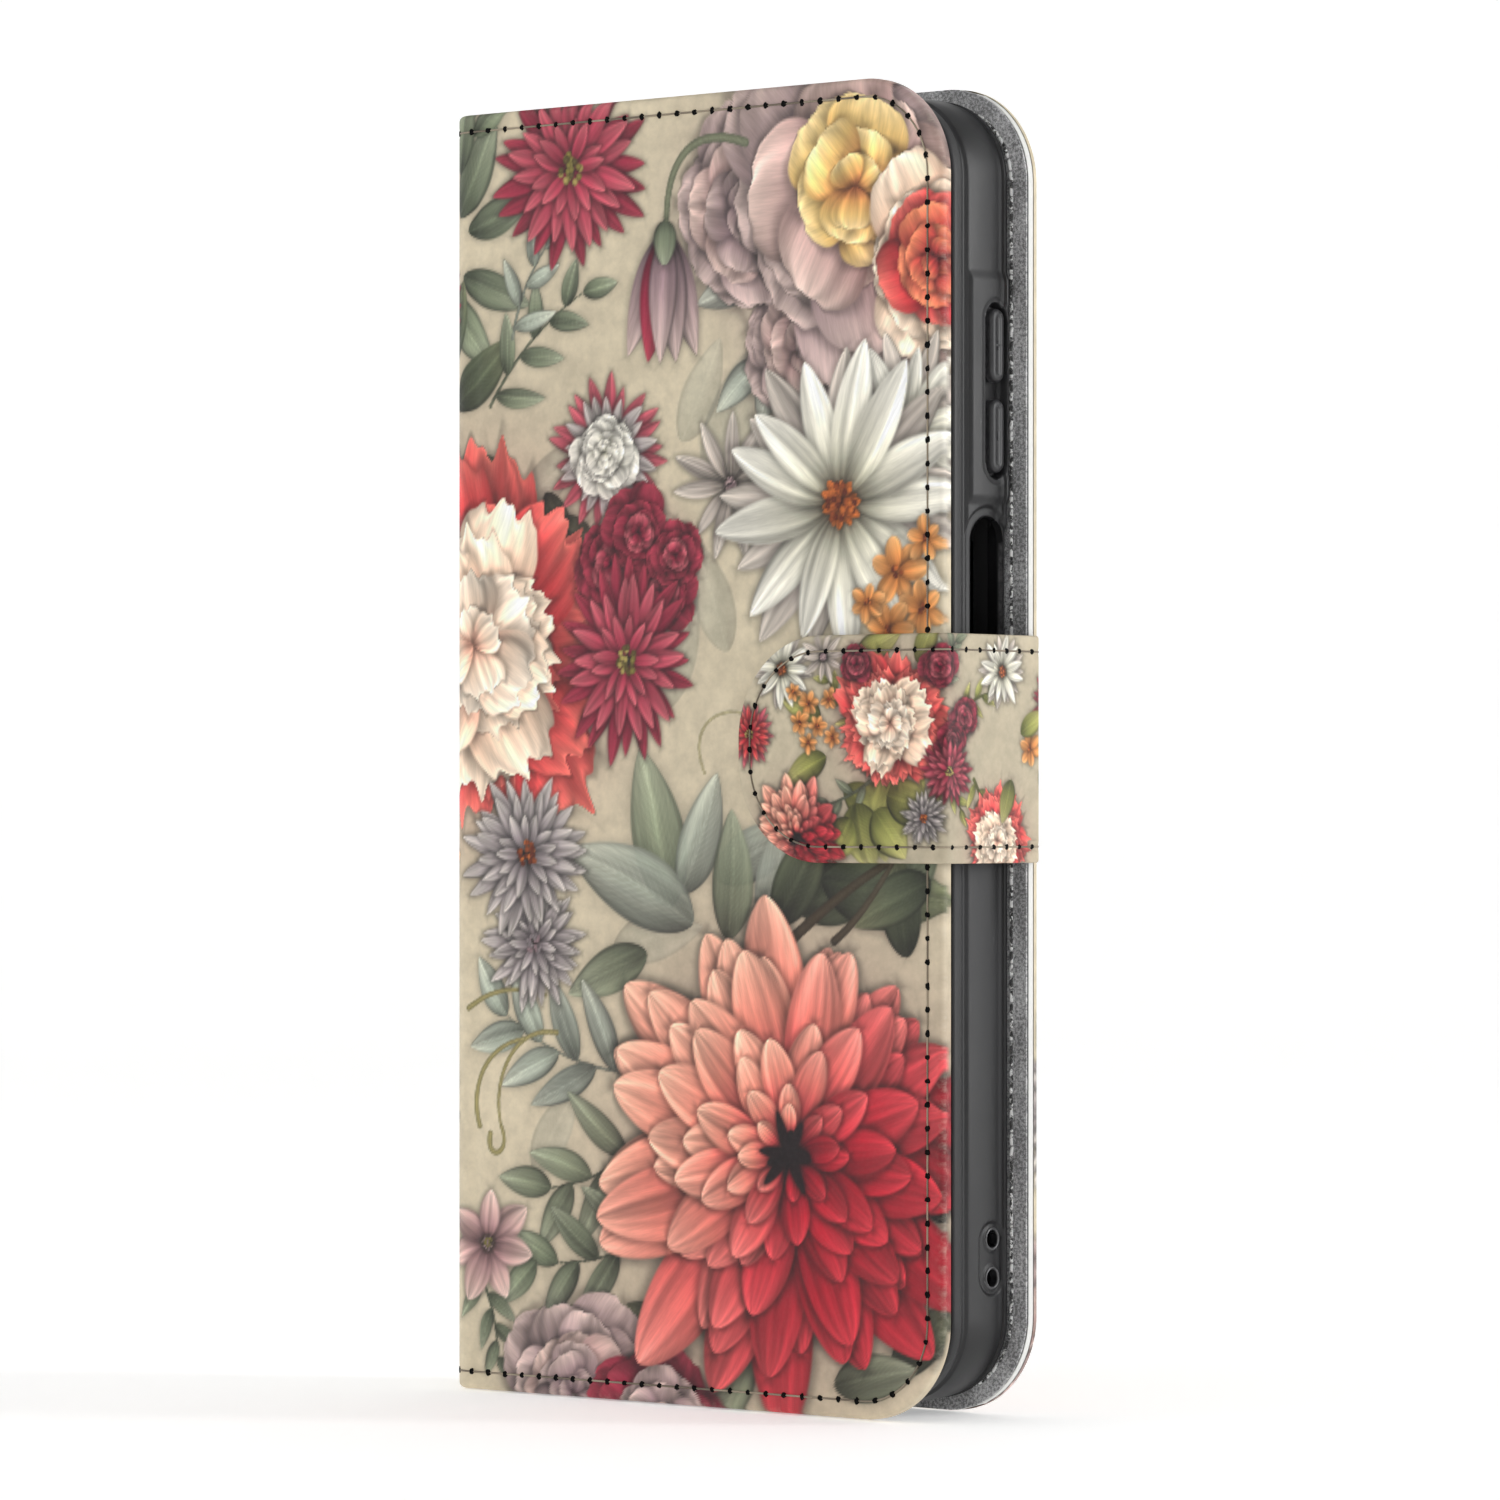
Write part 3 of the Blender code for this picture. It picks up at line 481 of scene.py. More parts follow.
def build_stitches(name, lines, place, length, radius, face, down, unit=1.0, pitch=STITCH_PITCH,
                   hole=0.4 * MM, waver=0.0):
    """Each stitch is a bowed length of thread between two needle holes."""
    vertices, faces, tones = [], [], []
    rng = np.random.default_rng(7)
    ring = np.radians(np.arange(0, 360, 45))
    n = len(ring)
    t = np.linspace(-1, 1, 11)
    for line in lines:
        spacing, track = resample(line, pitch)
        half = spacing * length / 2
        pu, pz = lay(track, t * half)
        side_u, side_z = lay(track, t * half + 1e-5)
        du, dz = side_u - pu, side_z - pz
        size = np.maximum(np.hypot(du, dz), 1e-9)
        nu, nz = -dz / size, du / size
        lift = radius * 0.75 * np.sqrt(np.maximum(1 - np.abs(t) ** 3, 0)) - radius * 0.45
        width = radius * (0.72 + 0.28 * np.sqrt(np.maximum(1 - t**4, 0)))
        for i in range(len(pu)):
            sway = waver * rng.normal() * t
            base = len(vertices) * n
            for k in range(len(t)):
                across = np.cos(ring) * width[k] + sway[k]
                above = np.sin(ring) * width[k] * 0.8 + lift[k]
                vertices.append(place(pu[i, k] + nu[i, k] * across, pz[i, k] + nz[i, k] * across,
                                      face - down * above / unit))
                tones.append(np.full(n, rng.uniform(0.8, 1.2) if k == 0 else tones[-1][0]))
            faces += tube_faces(base, len(t), n)
            faces.append([base + j for j in range(n)][::-1])
            faces.append([base + (len(t) - 1) * n + j for j in range(n)])
    thread = mesh_object(name, np.concatenate(vertices), faces, 60.0)
    keep(thread, "tone", np.concatenate(tones))
    fix_normals(thread)
    if not hole:
        return thread, None
    # A needle hole between stitches: a shallow cup, coloured near black as painted shade inside the
    # hole.
    vertices, faces = [], []
    around = np.radians(np.arange(0, 360, 30))
    n = len(around)
    for line in lines:
        spacing, track = resample(line, pitch)
        hu, hz = lay(track, np.array([spacing / 2]))
        for cu, cz in zip(hu[:, 0], hz[:, 0]):
            base = len(vertices) * n
            wide, tall = hole * rng.uniform(0.8, 1.15), hole * rng.uniform(0.85, 1.2)
            ragged = 1 + 0.12 * rng.normal(size=len(around))
            for r, h in ((1.1, -0.03), (0.9, 0.13), (0.4, 0.1)):
                vertices.append(place(cu + r * wide * ragged * np.cos(around),
                                      cz + r * tall * ragged * np.sin(around),
                                      face - down * h * MM / unit))
            faces += tube_faces(base, 3, n)
            faces.append([base + 2 * n + j for j in range(n)])
    holes = mesh_object(name + "_holes", np.concatenate(vertices), faces, 60.0)
    fix_normals(holes)
    return thread, holes


# ---------------------------------------------------------------- the floral print

class Print:
    """A painted floral pattern, worked out at each vertex of a printed sheet. Lengths are in mm."""

    def __init__(self, u, z, ground):
        self.u, self.z = np.asarray(u) / MM, np.asarray(z) / MM
        n = len(self.u)
        self.colour = np.repeat(np.array(ground, float)[None, :], n, 0)
        self.grain = np.c_[self.u * 0.3, self.z * 0.3, np.zeros(n)]

    def near(self, centre, reach):
        return np.flatnonzero(
            (np.abs(self.u - centre[0]) < reach) & (np.abs(self.z - centre[1]) < reach))

    def lay_on(self, index, colour, cover):
        cover = np.clip(cover, 0, 1)[:, None]
        self.colour[index] = self.colour[index] * (1 - cover) + colour * cover

    def wash(self, centre, radius, colour, strength):
        """A soft cloud of colour."""
        i = self.near(centre, radius * 2)
        r2 = ((self.u[i] - centre[0]) ** 2 + (self.z[i] - centre[1]) ** 2) / radius**2
        self.lay_on(i, np.array(colour, float), strength * np.exp(-r2 * 1.5))

    def petal(self, rng, base, angle, length, width, colours, full=0.85, blunt=0.55, bend=0.0,
              ruffle=0.0, shadow=0.3, streaks=5, rim=0.0, veins=0.0, cover=1.0, soft=0.24):
        """One petal or leaf: colours run from its base to its tip."""
        i = self.near((base[0] + 0.5 * length * math.cos(angle),
                       base[1] + 0.5 * length * math.sin(angle)), 0.62 * length + 0.7 * width)
        if not len(i):
            return
        du, dz = self.u[i] - base[0], self.z[i] - base[1]
        a = (du * math.cos(angle) + dz * math.sin(angle)) / length
        c = -du * math.sin(angle) + dz * math.cos(angle) - bend * length * a * a
        if ruffle:
            wave = np.cos(c / width * 19 + rng.uniform(0, 6)) + 0.6 * np.cos(
                c / width * 37 + rng.uniform(0, 6))
            a = a * (1 + ruffle * wave * np.clip(a, 0, 1.2) ** 2)
        inside = np.clip(a, 0.0, 1.0)
        half = 0.5 * width * np.sin(math.pi * inside**full) ** blunt + 1e-6
        gap = half - np.abs(c)
        ends = np.minimum(a, 1 - a) * length
        edge = np.minimum(gap, ends)
        if shadow:
            halo = np.exp(-(np.maximum(-edge, 0) / (0.07 * width + 0.35)) ** 2)
            self.colour[i] *= (1 - 0.75 * shadow * halo * cover)[:, None]
        mask = smooth(-soft, soft, edge)
        s = np.clip(c / half, -1, 1)
        stops = np.linspace(0, 1, len(colours))
        tone = np.stack([np.interp(inside, stops, [k[n] for k in colours]) for n in range(3)], -1)
        stroke = np.zeros_like(s)
        for n in range(1, streaks + 1):
            stroke += np.cos(s * n * 2.3 + rng.uniform(0, 6.3) + a * rng.uniform(-1.5, 1.5)) / n**0.7
        light = 1 + 0.10 * stroke + rng.uniform(-0.08, 0.08) + 0.09 * s * rng.choice([-1, 1])
        light -= 0.30 * smooth(0.72, 1.0, np.abs(s)) * (1 - rim)
        light += 0.28 * rim * smooth(0.7, 0.97, np.abs(s)) + 0.16 * rim * smooth(0.85, 1, inside)
        light -= 0.22 * smooth(0.35, 0.0, inside)
        if veins:
            mid = np.exp(-(s / 0.09) ** 2)
            rib = np.cos((inside * 8 - np.abs(s) * 2.4) * 2 * math.pi) ** 8 * (1 - np.abs(s))
            light += veins * (0.9 * mid + 0.55 * rib)
        self.lay_on(i, tone * light[:, None], mask * cover)
        j = mask * cover > 0.5
        self.grain[i[j]] = np.c_[c[j] * 1.6 + rng.uniform(0, 60), a[j] * length * 0.16,
                                 np.full(j.sum(), rng.uniform(0, 60))]

    def ring(self, rng, centre, count, start, length, width, colours, turn=0.0, jitter=0.12,
             lit=None, dark=None, squash=1.0, **shape):
        """A ring of petals round a centre. lit and dark shift their colours to the light's side."""
        for k in rng.permutation(count):
            angle = turn + 2 * math.pi * (k + rng.uniform(-jitter, jitter)) / count
            size = 1 + rng.uniform(-jitter, jitter)
            cos, sin = math.cos(angle), math.sin(angle) * squash
            base = (centre[0] + start * cos, centre[1] + start * sin)
            chosen = [np.array(k, float) for k in colours]
            if lit is not None:
                t = float(smooth(-0.9, 0.9, 0.62 * math.sin(angle) - 0.78 * math.cos(angle)))
                chosen = [np.array(x) * (1 - t) + np.array(y) * t for x, y in zip(dark, lit)]
            long = length * size * math.hypot(cos, sin)
            self.petal(rng, base, math.atan2(sin, cos), long, width * size, chosen,
                       bend=rng.uniform(-0.12, 0.12), **shape)

    def stem(self, points, width, colour, end_width=None):
        """A curved stroke through three or four control points."""
        p = np.array(points, float)
        t = np.linspace(0, 1, 60)[:, None]
        if len(p) == 3:
            line = (1 - t) ** 2 * p[0] + 2 * t * (1 - t) * p[1] + t**2 * p[2]
        else:
            line = ((1 - t) ** 3 * p[0] + 3 * t * (1 - t) ** 2 * p[1] + 3 * t**2 * (1 - t) * p[2]
                    + t**3 * p[3])
        centre = (line.min(0) + line.max(0)) / 2
        i = self.near(centre, float((line.max(0) - line.min(0)).max()) / 2 + width * 2)
        if not len(i):
            return
        away = np.hypot(self.u[i][:, None] - line[:, 0], self.z[i][:, None] - line[:, 1])
        nearest = away.argmin(1)
        d = away[np.arange(len(i)), nearest]
        half = 0.5 * np.interp(nearest / 59, [0, 1], [width, end_width or width])
        mask = smooth(0.12, -0.12, d - half)
        light = 1.12 - 0.35 * np.clip(d / half, 0, 1)
        self.lay_on(i, np.array(colour, float) * light[:, None], mask)

    def dots(self, rng, centre, radius, count, size, colours):
        for _ in range(count):
            a, r = rng.uniform(0, 6.3), radius * math.sqrt(rng.uniform(0, 1))
            at = (centre[0] + r * math.cos(a), centre[1] + r * math.sin(a))
            i = self.near(at, size * 2)
            d = np.hypot(self.u[i] - at[0], self.z[i] - at[1])
            colour = np.array(colours[rng.integers(len(colours))], float)
            self.lay_on(i, colour * (1.15 - 0.4 * d / size)[:, None], smooth(size, size * 0.6, d))


# Colours of the print, as display values.
CREAM = (207, 194, 167)
LEAF = ((84, 92, 72), (118, 126, 102), (150, 156, 132))
LEAF_DARK = ((48, 54, 40), (80, 88, 66), (112, 116, 86))
LEAF_GREY = ((128, 134, 120), (150, 156, 142), (176, 178, 162))
LEAF_OLIVE = ((92, 96, 44), (140, 140, 76), (176, 170, 110))


def leaf(p, rng, at, angle, length, width, colours=LEAF, cover=1.0, **shape):
    p.petal(rng, at, math.radians(angle), length, width, colours, full=0.8, blunt=0.75,
            bend=rng.uniform(-0.15, 0.15), shadow=0.14 * cover, streaks=3, veins=0.16, cover=cover,
            soft=0.2, **shape)


def leaves(p, rng, share, colours, places, cover=1.0):
    """Leaves at places, each a position, an angle and a length. Their width is a share of that, and
    colours is one set, or a function that picks a set by the angle."""
    for at, angle, size in places:
        chosen = colours(angle) if callable(colours) else colours
        leaf(p, rng, at, angle, size, size * share, chosen, cover=cover)


def dark_leaf(angle):
    return LEAF_DARK if angle % 3 else LEAF


def spray(p, rng, at, angle, length, count, size, colours, cover=1.0):
    """A twig with leaves on both sides."""
    a = math.radians(angle)
    end = (at[0] + length * math.cos(a), at[1] + length * math.sin(a))
    side = (at[0] + 0.5 * length * math.cos(a + 0.3), at[1] + 0.5 * length * math.sin(a + 0.3))
    p.stem((at, side, end), 0.55, colours[0], 0.25)
    for k in range(count):
        t = (k + 0.5) / count
        x = (1 - t) ** 2 * at[0] + 2 * t * (1 - t) * side[0] + t * t * end[0]
        y = (1 - t) ** 2 * at[1] + 2 * t * (1 - t) * side[1] + t * t * end[1]
        turn = (48 if k % 2 else -48) * (1.1 - 0.5 * t)
        leaf(p, rng, (x, y), angle + turn, size * (1.15 - 0.4 * t), size * 0.36, colours, cover)


def dahlia(p, rng, centre, radius, lit, dark, core=(22, 8, 12)):
    """Many long petals in crowded rings round a dark middle."""
    p.wash(centre, radius * 0.9, dark[0], 0.75)
    for share, count, wide in ((1.0, 17, 0.31), (0.93, 16, 0.29), (0.82, 15, 0.27), (0.70, 13, 0.25),
                               (0.57, 12, 0.22), (0.44, 11, 0.18), (0.31, 9, 0.14), (0.2, 8, 0.10)):
        p.ring(rng, centre, count, radius * 0.04, radius * share, radius * wide, lit, jitter=0.2,
               turn=rng.uniform(0, 6), lit=lit, dark=dark, full=1.35, blunt=0.58, shadow=0.42,
               rim=0.4, streaks=9)
    for _ in range(9):
        a = rng.uniform(0, 6.3)
        p.petal(rng, centre, a, radius * rng.uniform(0.10, 0.2), radius * 0.05, (core, core),
                shadow=0.3)
    p.wash(centre, radius * 0.07, core, 0.95)


def carnation(p, rng, centre, radius, outer, inner, middle):
    """Broad petals with frilled tips, dark outside and pale within."""
    p.wash(centre, radius * 0.85, outer[0], 0.8)
    for share, count, wide, colours in ((1.0, 10, 0.66, outer), (0.9, 10, 0.60, outer),
                                        (0.79, 9, 0.56, outer), (0.68, 8, 0.54, inner),
                                        (0.53, 7, 0.50, inner), (0.38, 5, 0.44, middle),
                                        (0.24, 4, 0.3, middle)):
        p.ring(rng, centre, count, 0.0, radius * share, radius * wide, colours, jitter=0.2,
               turn=rng.uniform(0, 6), full=1.7, blunt=0.4, ruffle=0.05, shadow=0.34, rim=0.35,
               streaks=9)


def peony(p, rng, centre, radius, outer, middle, inner, heart):
    """A globe of broad, cupped petals."""
    p.wash(centre, radius * 0.9, outer[0], 0.8)
    for share, count, wide, colours in ((1.05, 7, 0.95, outer), (0.88, 7, 0.84, outer),
                                        (0.70, 6, 0.74, middle), (0.54, 5, 0.64, inner),
                                        (0.38, 4, 0.5, inner), (0.22, 3, 0.3, heart)):
        p.ring(rng, centre, count, 0.0, radius * share, radius * wide, colours, jitter=0.2,
               turn=rng.uniform(0, 6), full=1.5, blunt=0.4, shadow=0.36, rim=0.35, streaks=7,
               ruffle=0.012)


def daisy(p, rng, centre, radius, petals, count, wide, eye, eye_size, back=None):
    if back:
        p.ring(rng, centre, count, radius * 0.1, radius * 1.0, radius * wide, back,
               turn=rng.uniform(0, 6), full=0.95, blunt=0.7, shadow=0.25, streaks=5)
    p.ring(rng, centre, count, radius * 0.08, radius * 0.98, radius * wide, petals,
           turn=rng.uniform(0, 6), full=0.95, blunt=0.68, shadow=0.3, rim=0.3, streaks=6)
    size = radius * eye_size
    p.wash(centre, size * 1.2, tuple(0.45 * c for c in eye[0]), 0.7)
    p.ring(rng, centre, 12, 0.0, size * 1.05, size * 0.5, (eye[0], eye[1]), shadow=0.3, blunt=0.5)
    p.dots(rng, centre, size * 0.8, 26, max(size * 0.17, 0.22), eye)


def aster(p, rng, centre, radius, back, front, eye, squash=1.0):
    p.ring(rng, centre, 21, radius * 0.1, radius, radius * 0.24, back, turn=rng.uniform(0, 6),
           full=1.05, blunt=0.7, shadow=0.3, squash=squash, streaks=4)
    p.ring(rng, centre, 18, radius * 0.08, radius * 0.82, radius * 0.22, front, squash=squash,
           turn=rng.uniform(0, 6), full=1.05, blunt=0.7, shadow=0.34, rim=0.3, streaks=4)
    p.ring(rng, centre, 13, radius * 0.05, radius * 0.5, radius * 0.18, front, squash=squash,
           turn=rng.uniform(0, 6), full=1.0, blunt=0.7, shadow=0.34, streaks=3)
    p.dots(rng, centre, radius * 0.17, 22, max(radius * 0.05, 0.2), eye)


def blossom(p, rng, centre, radius, colours, eye):
    p.ring(rng, centre, 6, 0.0, radius, radius * 0.62, colours, turn=rng.uniform(0, 6), full=1.3,
           blunt=0.5, shadow=0.22, streaks=3, rim=0.2)
    p.dots(rng, centre, radius * 0.16, 5, max(radius * 0.1, 0.2), eye)


def blossoms(p, rng, places):
    """A cluster of small orange blossoms, each a position and a radius."""
    for at, radius in places:
        blossom(p, rng, at, radius, ORANGE, EYE_ORANGE)


def rosebuds(p, rng, places):
    """A cluster of small crimson peonies, each a position and a radius."""
    for at, radius in places:
        peony(p, rng, at, radius, CRIMSON, CRIMSON, CRIMSON_PINK, CRIMSON)


CORAL = ((112, 18, 32), (196, 70, 70), (230, 138, 118), (240, 184, 158))
RED = ((44, 4, 12), (112, 10, 28), (154, 22, 38), (180, 48, 58))
CARNATION_OUT = ((96, 10, 24), (170, 28, 44), (204, 58, 62), (222, 110, 98))
CARNATION_IN = ((190, 96, 86), (228, 168, 144), (240, 206, 178), (246, 224, 200))
CARNATION_MID = ((226, 160, 136), (242, 212, 186), (248, 232, 212))
MAUVE = ((88, 66, 72), (132, 108, 112), (164, 140, 138), (190, 168, 160))
MAUVE_PINK = ((120, 84, 88), (168, 132, 130), (198, 164, 156), (214, 188, 176))
YELLOW = ((176, 96, 60), (222, 160, 92), (238, 198, 122), (244, 218, 160))
HEART = ((120, 24, 36), (190, 72, 62), (226, 136, 96))
WHITE = ((150, 150, 128), (206, 202, 184), (226, 222, 208), (232, 228, 216))
WHITE_BACK = ((132, 122, 112), (178, 166, 156), (200, 190, 178))
EYE_ORANGE = ((132, 62, 28), (186, 100, 44), (92, 38, 20))
CRIMSON = ((70, 12, 30), (118, 26, 48), (150, 50, 66))
CRIMSON_PINK = ((110, 26, 46), (160, 56, 74), (190, 96, 104))
EYE_GREEN = ((120, 110, 52), (160, 144, 80), (84, 72, 36))
GREY = ((74, 66, 66), (122, 112, 114), (164, 154, 152), (192, 184, 176))
ORANGE = ((170, 96, 44), (208, 138, 76), (224, 168, 110))


def paint_ground(p, rng):
    tone = np.zeros_like(p.u)
    for _ in range(10):
        k = rng.uniform(0.03, 0.16)
        a = rng.uniform(0, 6.3)
        tone += np.cos(p.u * k * math.cos(a) + p.z * k * math.sin(a) + rng.uniform(0, 6.3))
    p.colour *= (1 + 0.008 * tone)[:, None]


def paint_front(p, rng):
    """The front cover and spine: a large bloom low on the right and smaller ones above it."""
    leaves(p, rng, 0.42, LEAF_GREY, (
        ((-6, 92), 70, 18), ((4, 120), 80, 20), ((-2, 128), 60, 15), ((-30, 120), 40, 14),
        ((-14, 60), 20, 16), ((-28, 30), 60, 14), ((6, 100), 110, 16), ((-34, 88), 70, 14),
        ((-8, 20), 70, 14)), cover=0.28)
    # Leaves behind the flowers.
    leaves(p, rng, 0.4, LEAF, (
        ((-42, 160), 60, 15), ((-40, 158), 15, 13), ((-41, 152), -25, 13), ((-42, 166), 85, 12),
        ((-44, 150), -60, 14), ((-39, 171), 40, 10)))
    leaves(p, rng, 0.44, LEAF_DARK, (
        ((-43, 134), 35, 14), ((-42, 126), -15, 14), ((-45, 140), 70, 12), ((-40, 122), -50, 12),
        ((-26, 122), -60, 9), ((-24, 118), -20, 9), ((-25, 112), 20, 8)))
    spray(p, rng, (-36, 134), 40, 24, 7, 8, LEAF)
    spray(p, rng, (-32, 143), 62, 15, 5, 7, LEAF_GREY)
    leaves(p, rng, 0.42, lambda angle: LEAF_GREY if angle % 20 else LEAF, (
        ((-4, 66), 100, 22), ((-2, 68), 62, 17), ((0, 64), 150, 24), ((4, 70), 30, 17),
        ((-8, 60), 200, 15), ((6, 62), 80, 17), ((12, 64), 70, 15)), cover=0.9)
    spray(p, rng, (-12, 44), 160, 24, 7, 12, LEAF_GREY)
    spray(p, rng, (-10, 34), 200, 18, 5, 12, LEAF, 0.9)
    spray(p, rng, (-8, 22), 190, 22, 6, 11, LEAF)
    spray(p, rng, (-38, 16), 285, 13, 6, 6, LEAF)
    leaves(p, rng, 0.46, dark_leaf, (
        ((18, 66), 20, 20), ((22, 70), -10, 22), ((14, 64), 55, 16), ((34, 66), 60, 15),
        ((36, 60), 100, 14), ((40, 70), 200, 14), ((10, 8), 240, 13), ((34, 6), 50, 14),
        ((40, 16), 120, 13), ((24, 4), 15, 14), ((42, 26), 110, 14), ((-2, 10), 170, 10)))
    p.stem(((14, 60), (22, 66), (30, 72), (42, 76)), 1.7, (66, 58, 42), 1.0)
    p.stem(((24, 62), (30, 66), (36, 76)), 1.2, (74, 66, 50), 0.7)
    leaves(p, rng, 0.45, LEAF_GREY, (
        ((16, 143), 250, 14), ((34, 140), 280, 12), ((12, 150), 200, 12), ((40, 132), 240, 12),
        ((12, 138), 210, 10)))
    # Curling tendrils.
    olive = (150, 140, 92)
    p.stem(((-24, 49), (-32, 50), (-36, 42), (-34, 36)), 0.75, olive, 0.5)
    p.stem(((-34, 36), (-32, 32), (-37, 31), (-36, 35)), 0.6, olive, 0.9)
    p.stem(((-30, 48), (-37, 47), (-40, 41), (-38, 36)), 0.6, olive, 0.9)
    p.stem(((-26, 54), (-34, 56), (-40, 52)), 0.55, olive, 0.8)
    p.stem(((2, 84), (-2, 92), (8, 94), (12, 90)), 0.5, (170, 160, 122), 0.35)
    # The blooms.
    aster(p, rng, (-21.6, 165.5), 12.2, CRIMSON, CRIMSON_PINK, EYE_GREEN)
    peony(p, rng, (20, 140), 10.5, MAUVE, MAUVE_PINK, MAUVE_PINK, MAUVE)
    peony(p, rng, (33, 139), 9.5, MAUVE_PINK, MAUVE, MAUVE_PINK, MAUVE)
    peony(p, rng, (10, 158), 13, MAUVE, MAUVE_PINK, MAUVE, MAUVE)
    peony(p, rng, (27.5, 160), 21.5, MAUVE, MAUVE_PINK, YELLOW, YELLOW)
    peony(p, rng, (41, 150), 12, CARNATION_IN, CARNATION_OUT, HEART, HEART)
    daisy(p, rng, (6.5, 122), 9, WHITE_BACK, 11, 0.26, (MAUVE[1], MAUVE[2]), 0.12)
    daisy(p, rng, (36, 127), 12, WHITE, 12, 0.28, EYE_ORANGE, 0.1, WHITE_BACK)
    daisy(p, rng, (25, 119), 18.5, WHITE, 13, 0.3, EYE_ORANGE, 0.17, WHITE_BACK)
    blossoms(p, rng, (
        ((34.5, 110), 4.6), ((38.5, 105), 3.8), ((33, 102.5), 3.8), ((39, 114), 3.0),
        ((29.5, 106), 2.8)))
    green = (112, 116, 92)
    p.stem(((9, 167), (0, 170), (-5, 166), (-4.6, 156)), 1.3, green, 1.0)
    for angle, wide, colours in ((-112, 5.5, MAUVE), (-72, 5.5, MAUVE), (-100, 6, CRIMSON),
                                 (-84, 6, MAUVE), (-93, 5, MAUVE)):
        p.petal(rng, (-4.8, 156), math.radians(angle), 17.5, wide, colours, full=0.8, blunt=0.8,
                shadow=0.2)
    p.petal(rng, (-4.8, 157.5), math.radians(-92), 6, 4, LEAF, full=0.8, blunt=0.6)
    aster(p, rng, (-15, 127), 9, CRIMSON_PINK, GREY, (WHITE[2], WHITE[3]))
    peony(p, rng, (-15.5, 127), 5.4, WHITE, WHITE, WHITE, WHITE)
    carnation(p, rng, (-39.2, 101.5), 25.5, CARNATION_OUT, CARNATION_IN, CARNATION_MID)
    rosebuds(p, rng, (
        ((-14.5, 112), 6), ((-5.5, 108), 5.2), ((-9.5, 116), 5.6), ((-3, 113), 4.2)))
    aster(p, rng, (-11.6, 99), 10.5, CRIMSON, CRIMSON_PINK, EYE_GREEN, 1.15)
    aster(p, rng, (-28, 61), 8, GREY, GREY, (MAUVE[1], GREY[1]))
    aster(p, rng, (-29.5, 73), 10, GREY, GREY, EYE_ORANGE)
    daisy(p, rng, (-36.5, 20), 7.5, MAUVE_PINK, 7, 0.55, (EYE_GREEN[0], MAUVE[1]), 0.14)
    peony(p, rng, (-21, 0.5), 12.5, MAUVE, MAUVE_PINK, MAUVE, MAUVE)
    peony(p, rng, (-6, -3), 10.5, CRIMSON, MAUVE, MAUVE, MAUVE)
    dahlia(p, rng, (16.4, 34), 31.5, CORAL, RED)
    # What runs over the spine.
    spray(p, rng, (-52, 60), 95, 22, 7, 9, LEAF)
    aster(p, rng, (-50, 148), 8, CRIMSON, CRIMSON_PINK, EYE_GREEN)
    daisy(p, rng, (-51, 38), 8, WHITE, 11, 0.28, EYE_ORANGE, 0.16, WHITE_BACK)
    blossom(p, rng, (-46, 72), 3.6, ORANGE, EYE_ORANGE)


def paint_back(p, rng):
    """The back cover: the same kinds of flowers in an arrangement of its own."""
    leaves(p, rng, 0.42, dark_leaf, (
        ((-70, 60), 100, 26), ((-74, 64), 60, 22), ((-96, 96), 200, 20), ((-110, 130), 120, 20),
        ((-132, 60), 70, 24), ((-126, 30), 30, 22), ((-84, 20), 160, 20), ((-66, 150), 240, 22),
        ((-90, 150), 20, 20), ((-130, 110), 250, 20), ((-60, 100), 300, 20)))
    spray(p, rng, (-100, 60), 80, 28, 8, 12, LEAF_GREY)
    spray(p, rng, (-62, 130), 60, 26, 8, 11, LEAF)
    spray(p, rng, (-140, 90), 60, 26, 8, 11, LEAF_GREY)
    peony(p, rng, (-72, 164), 17, MAUVE, MAUVE_PINK, YELLOW, YELLOW)
    daisy(p, rng, (-68, 118), 17, WHITE, 13, 0.3, EYE_ORANGE, 0.17, WHITE_BACK)
    carnation(p, rng, (-120, 84), 21, CARNATION_OUT, CARNATION_IN, CARNATION_MID)
    aster(p, rng, (-92, 82), 11, CRIMSON, CRIMSON_PINK, EYE_GREEN)
    aster(p, rng, (-84, 98), 8, CRIMSON, CRIMSON_PINK, EYE_GREEN)
    aster(p, rng, (-140, 40), 11, GREY, GREY, EYE_ORANGE)
    blossoms(p, rng, (
        ((-100, 112), 4.6), ((-106, 106), 3.8), ((-94, 118), 4.2), ((-64, 20), 4.5),
        ((-58, 26), 3.6), ((-138, 118), 4.4)))
    peony(p, rng, (-140, 8), 14, MAUVE, MAUVE_PINK, MAUVE, MAUVE)
    dahlia(p, rng, (-92, 34), 27, CORAL, RED)
    daisy(p, rng, (-60, 62), 9, MAUVE_PINK, 9, 0.45, (EYE_GREEN[0], MAUVE[1]), 0.14)


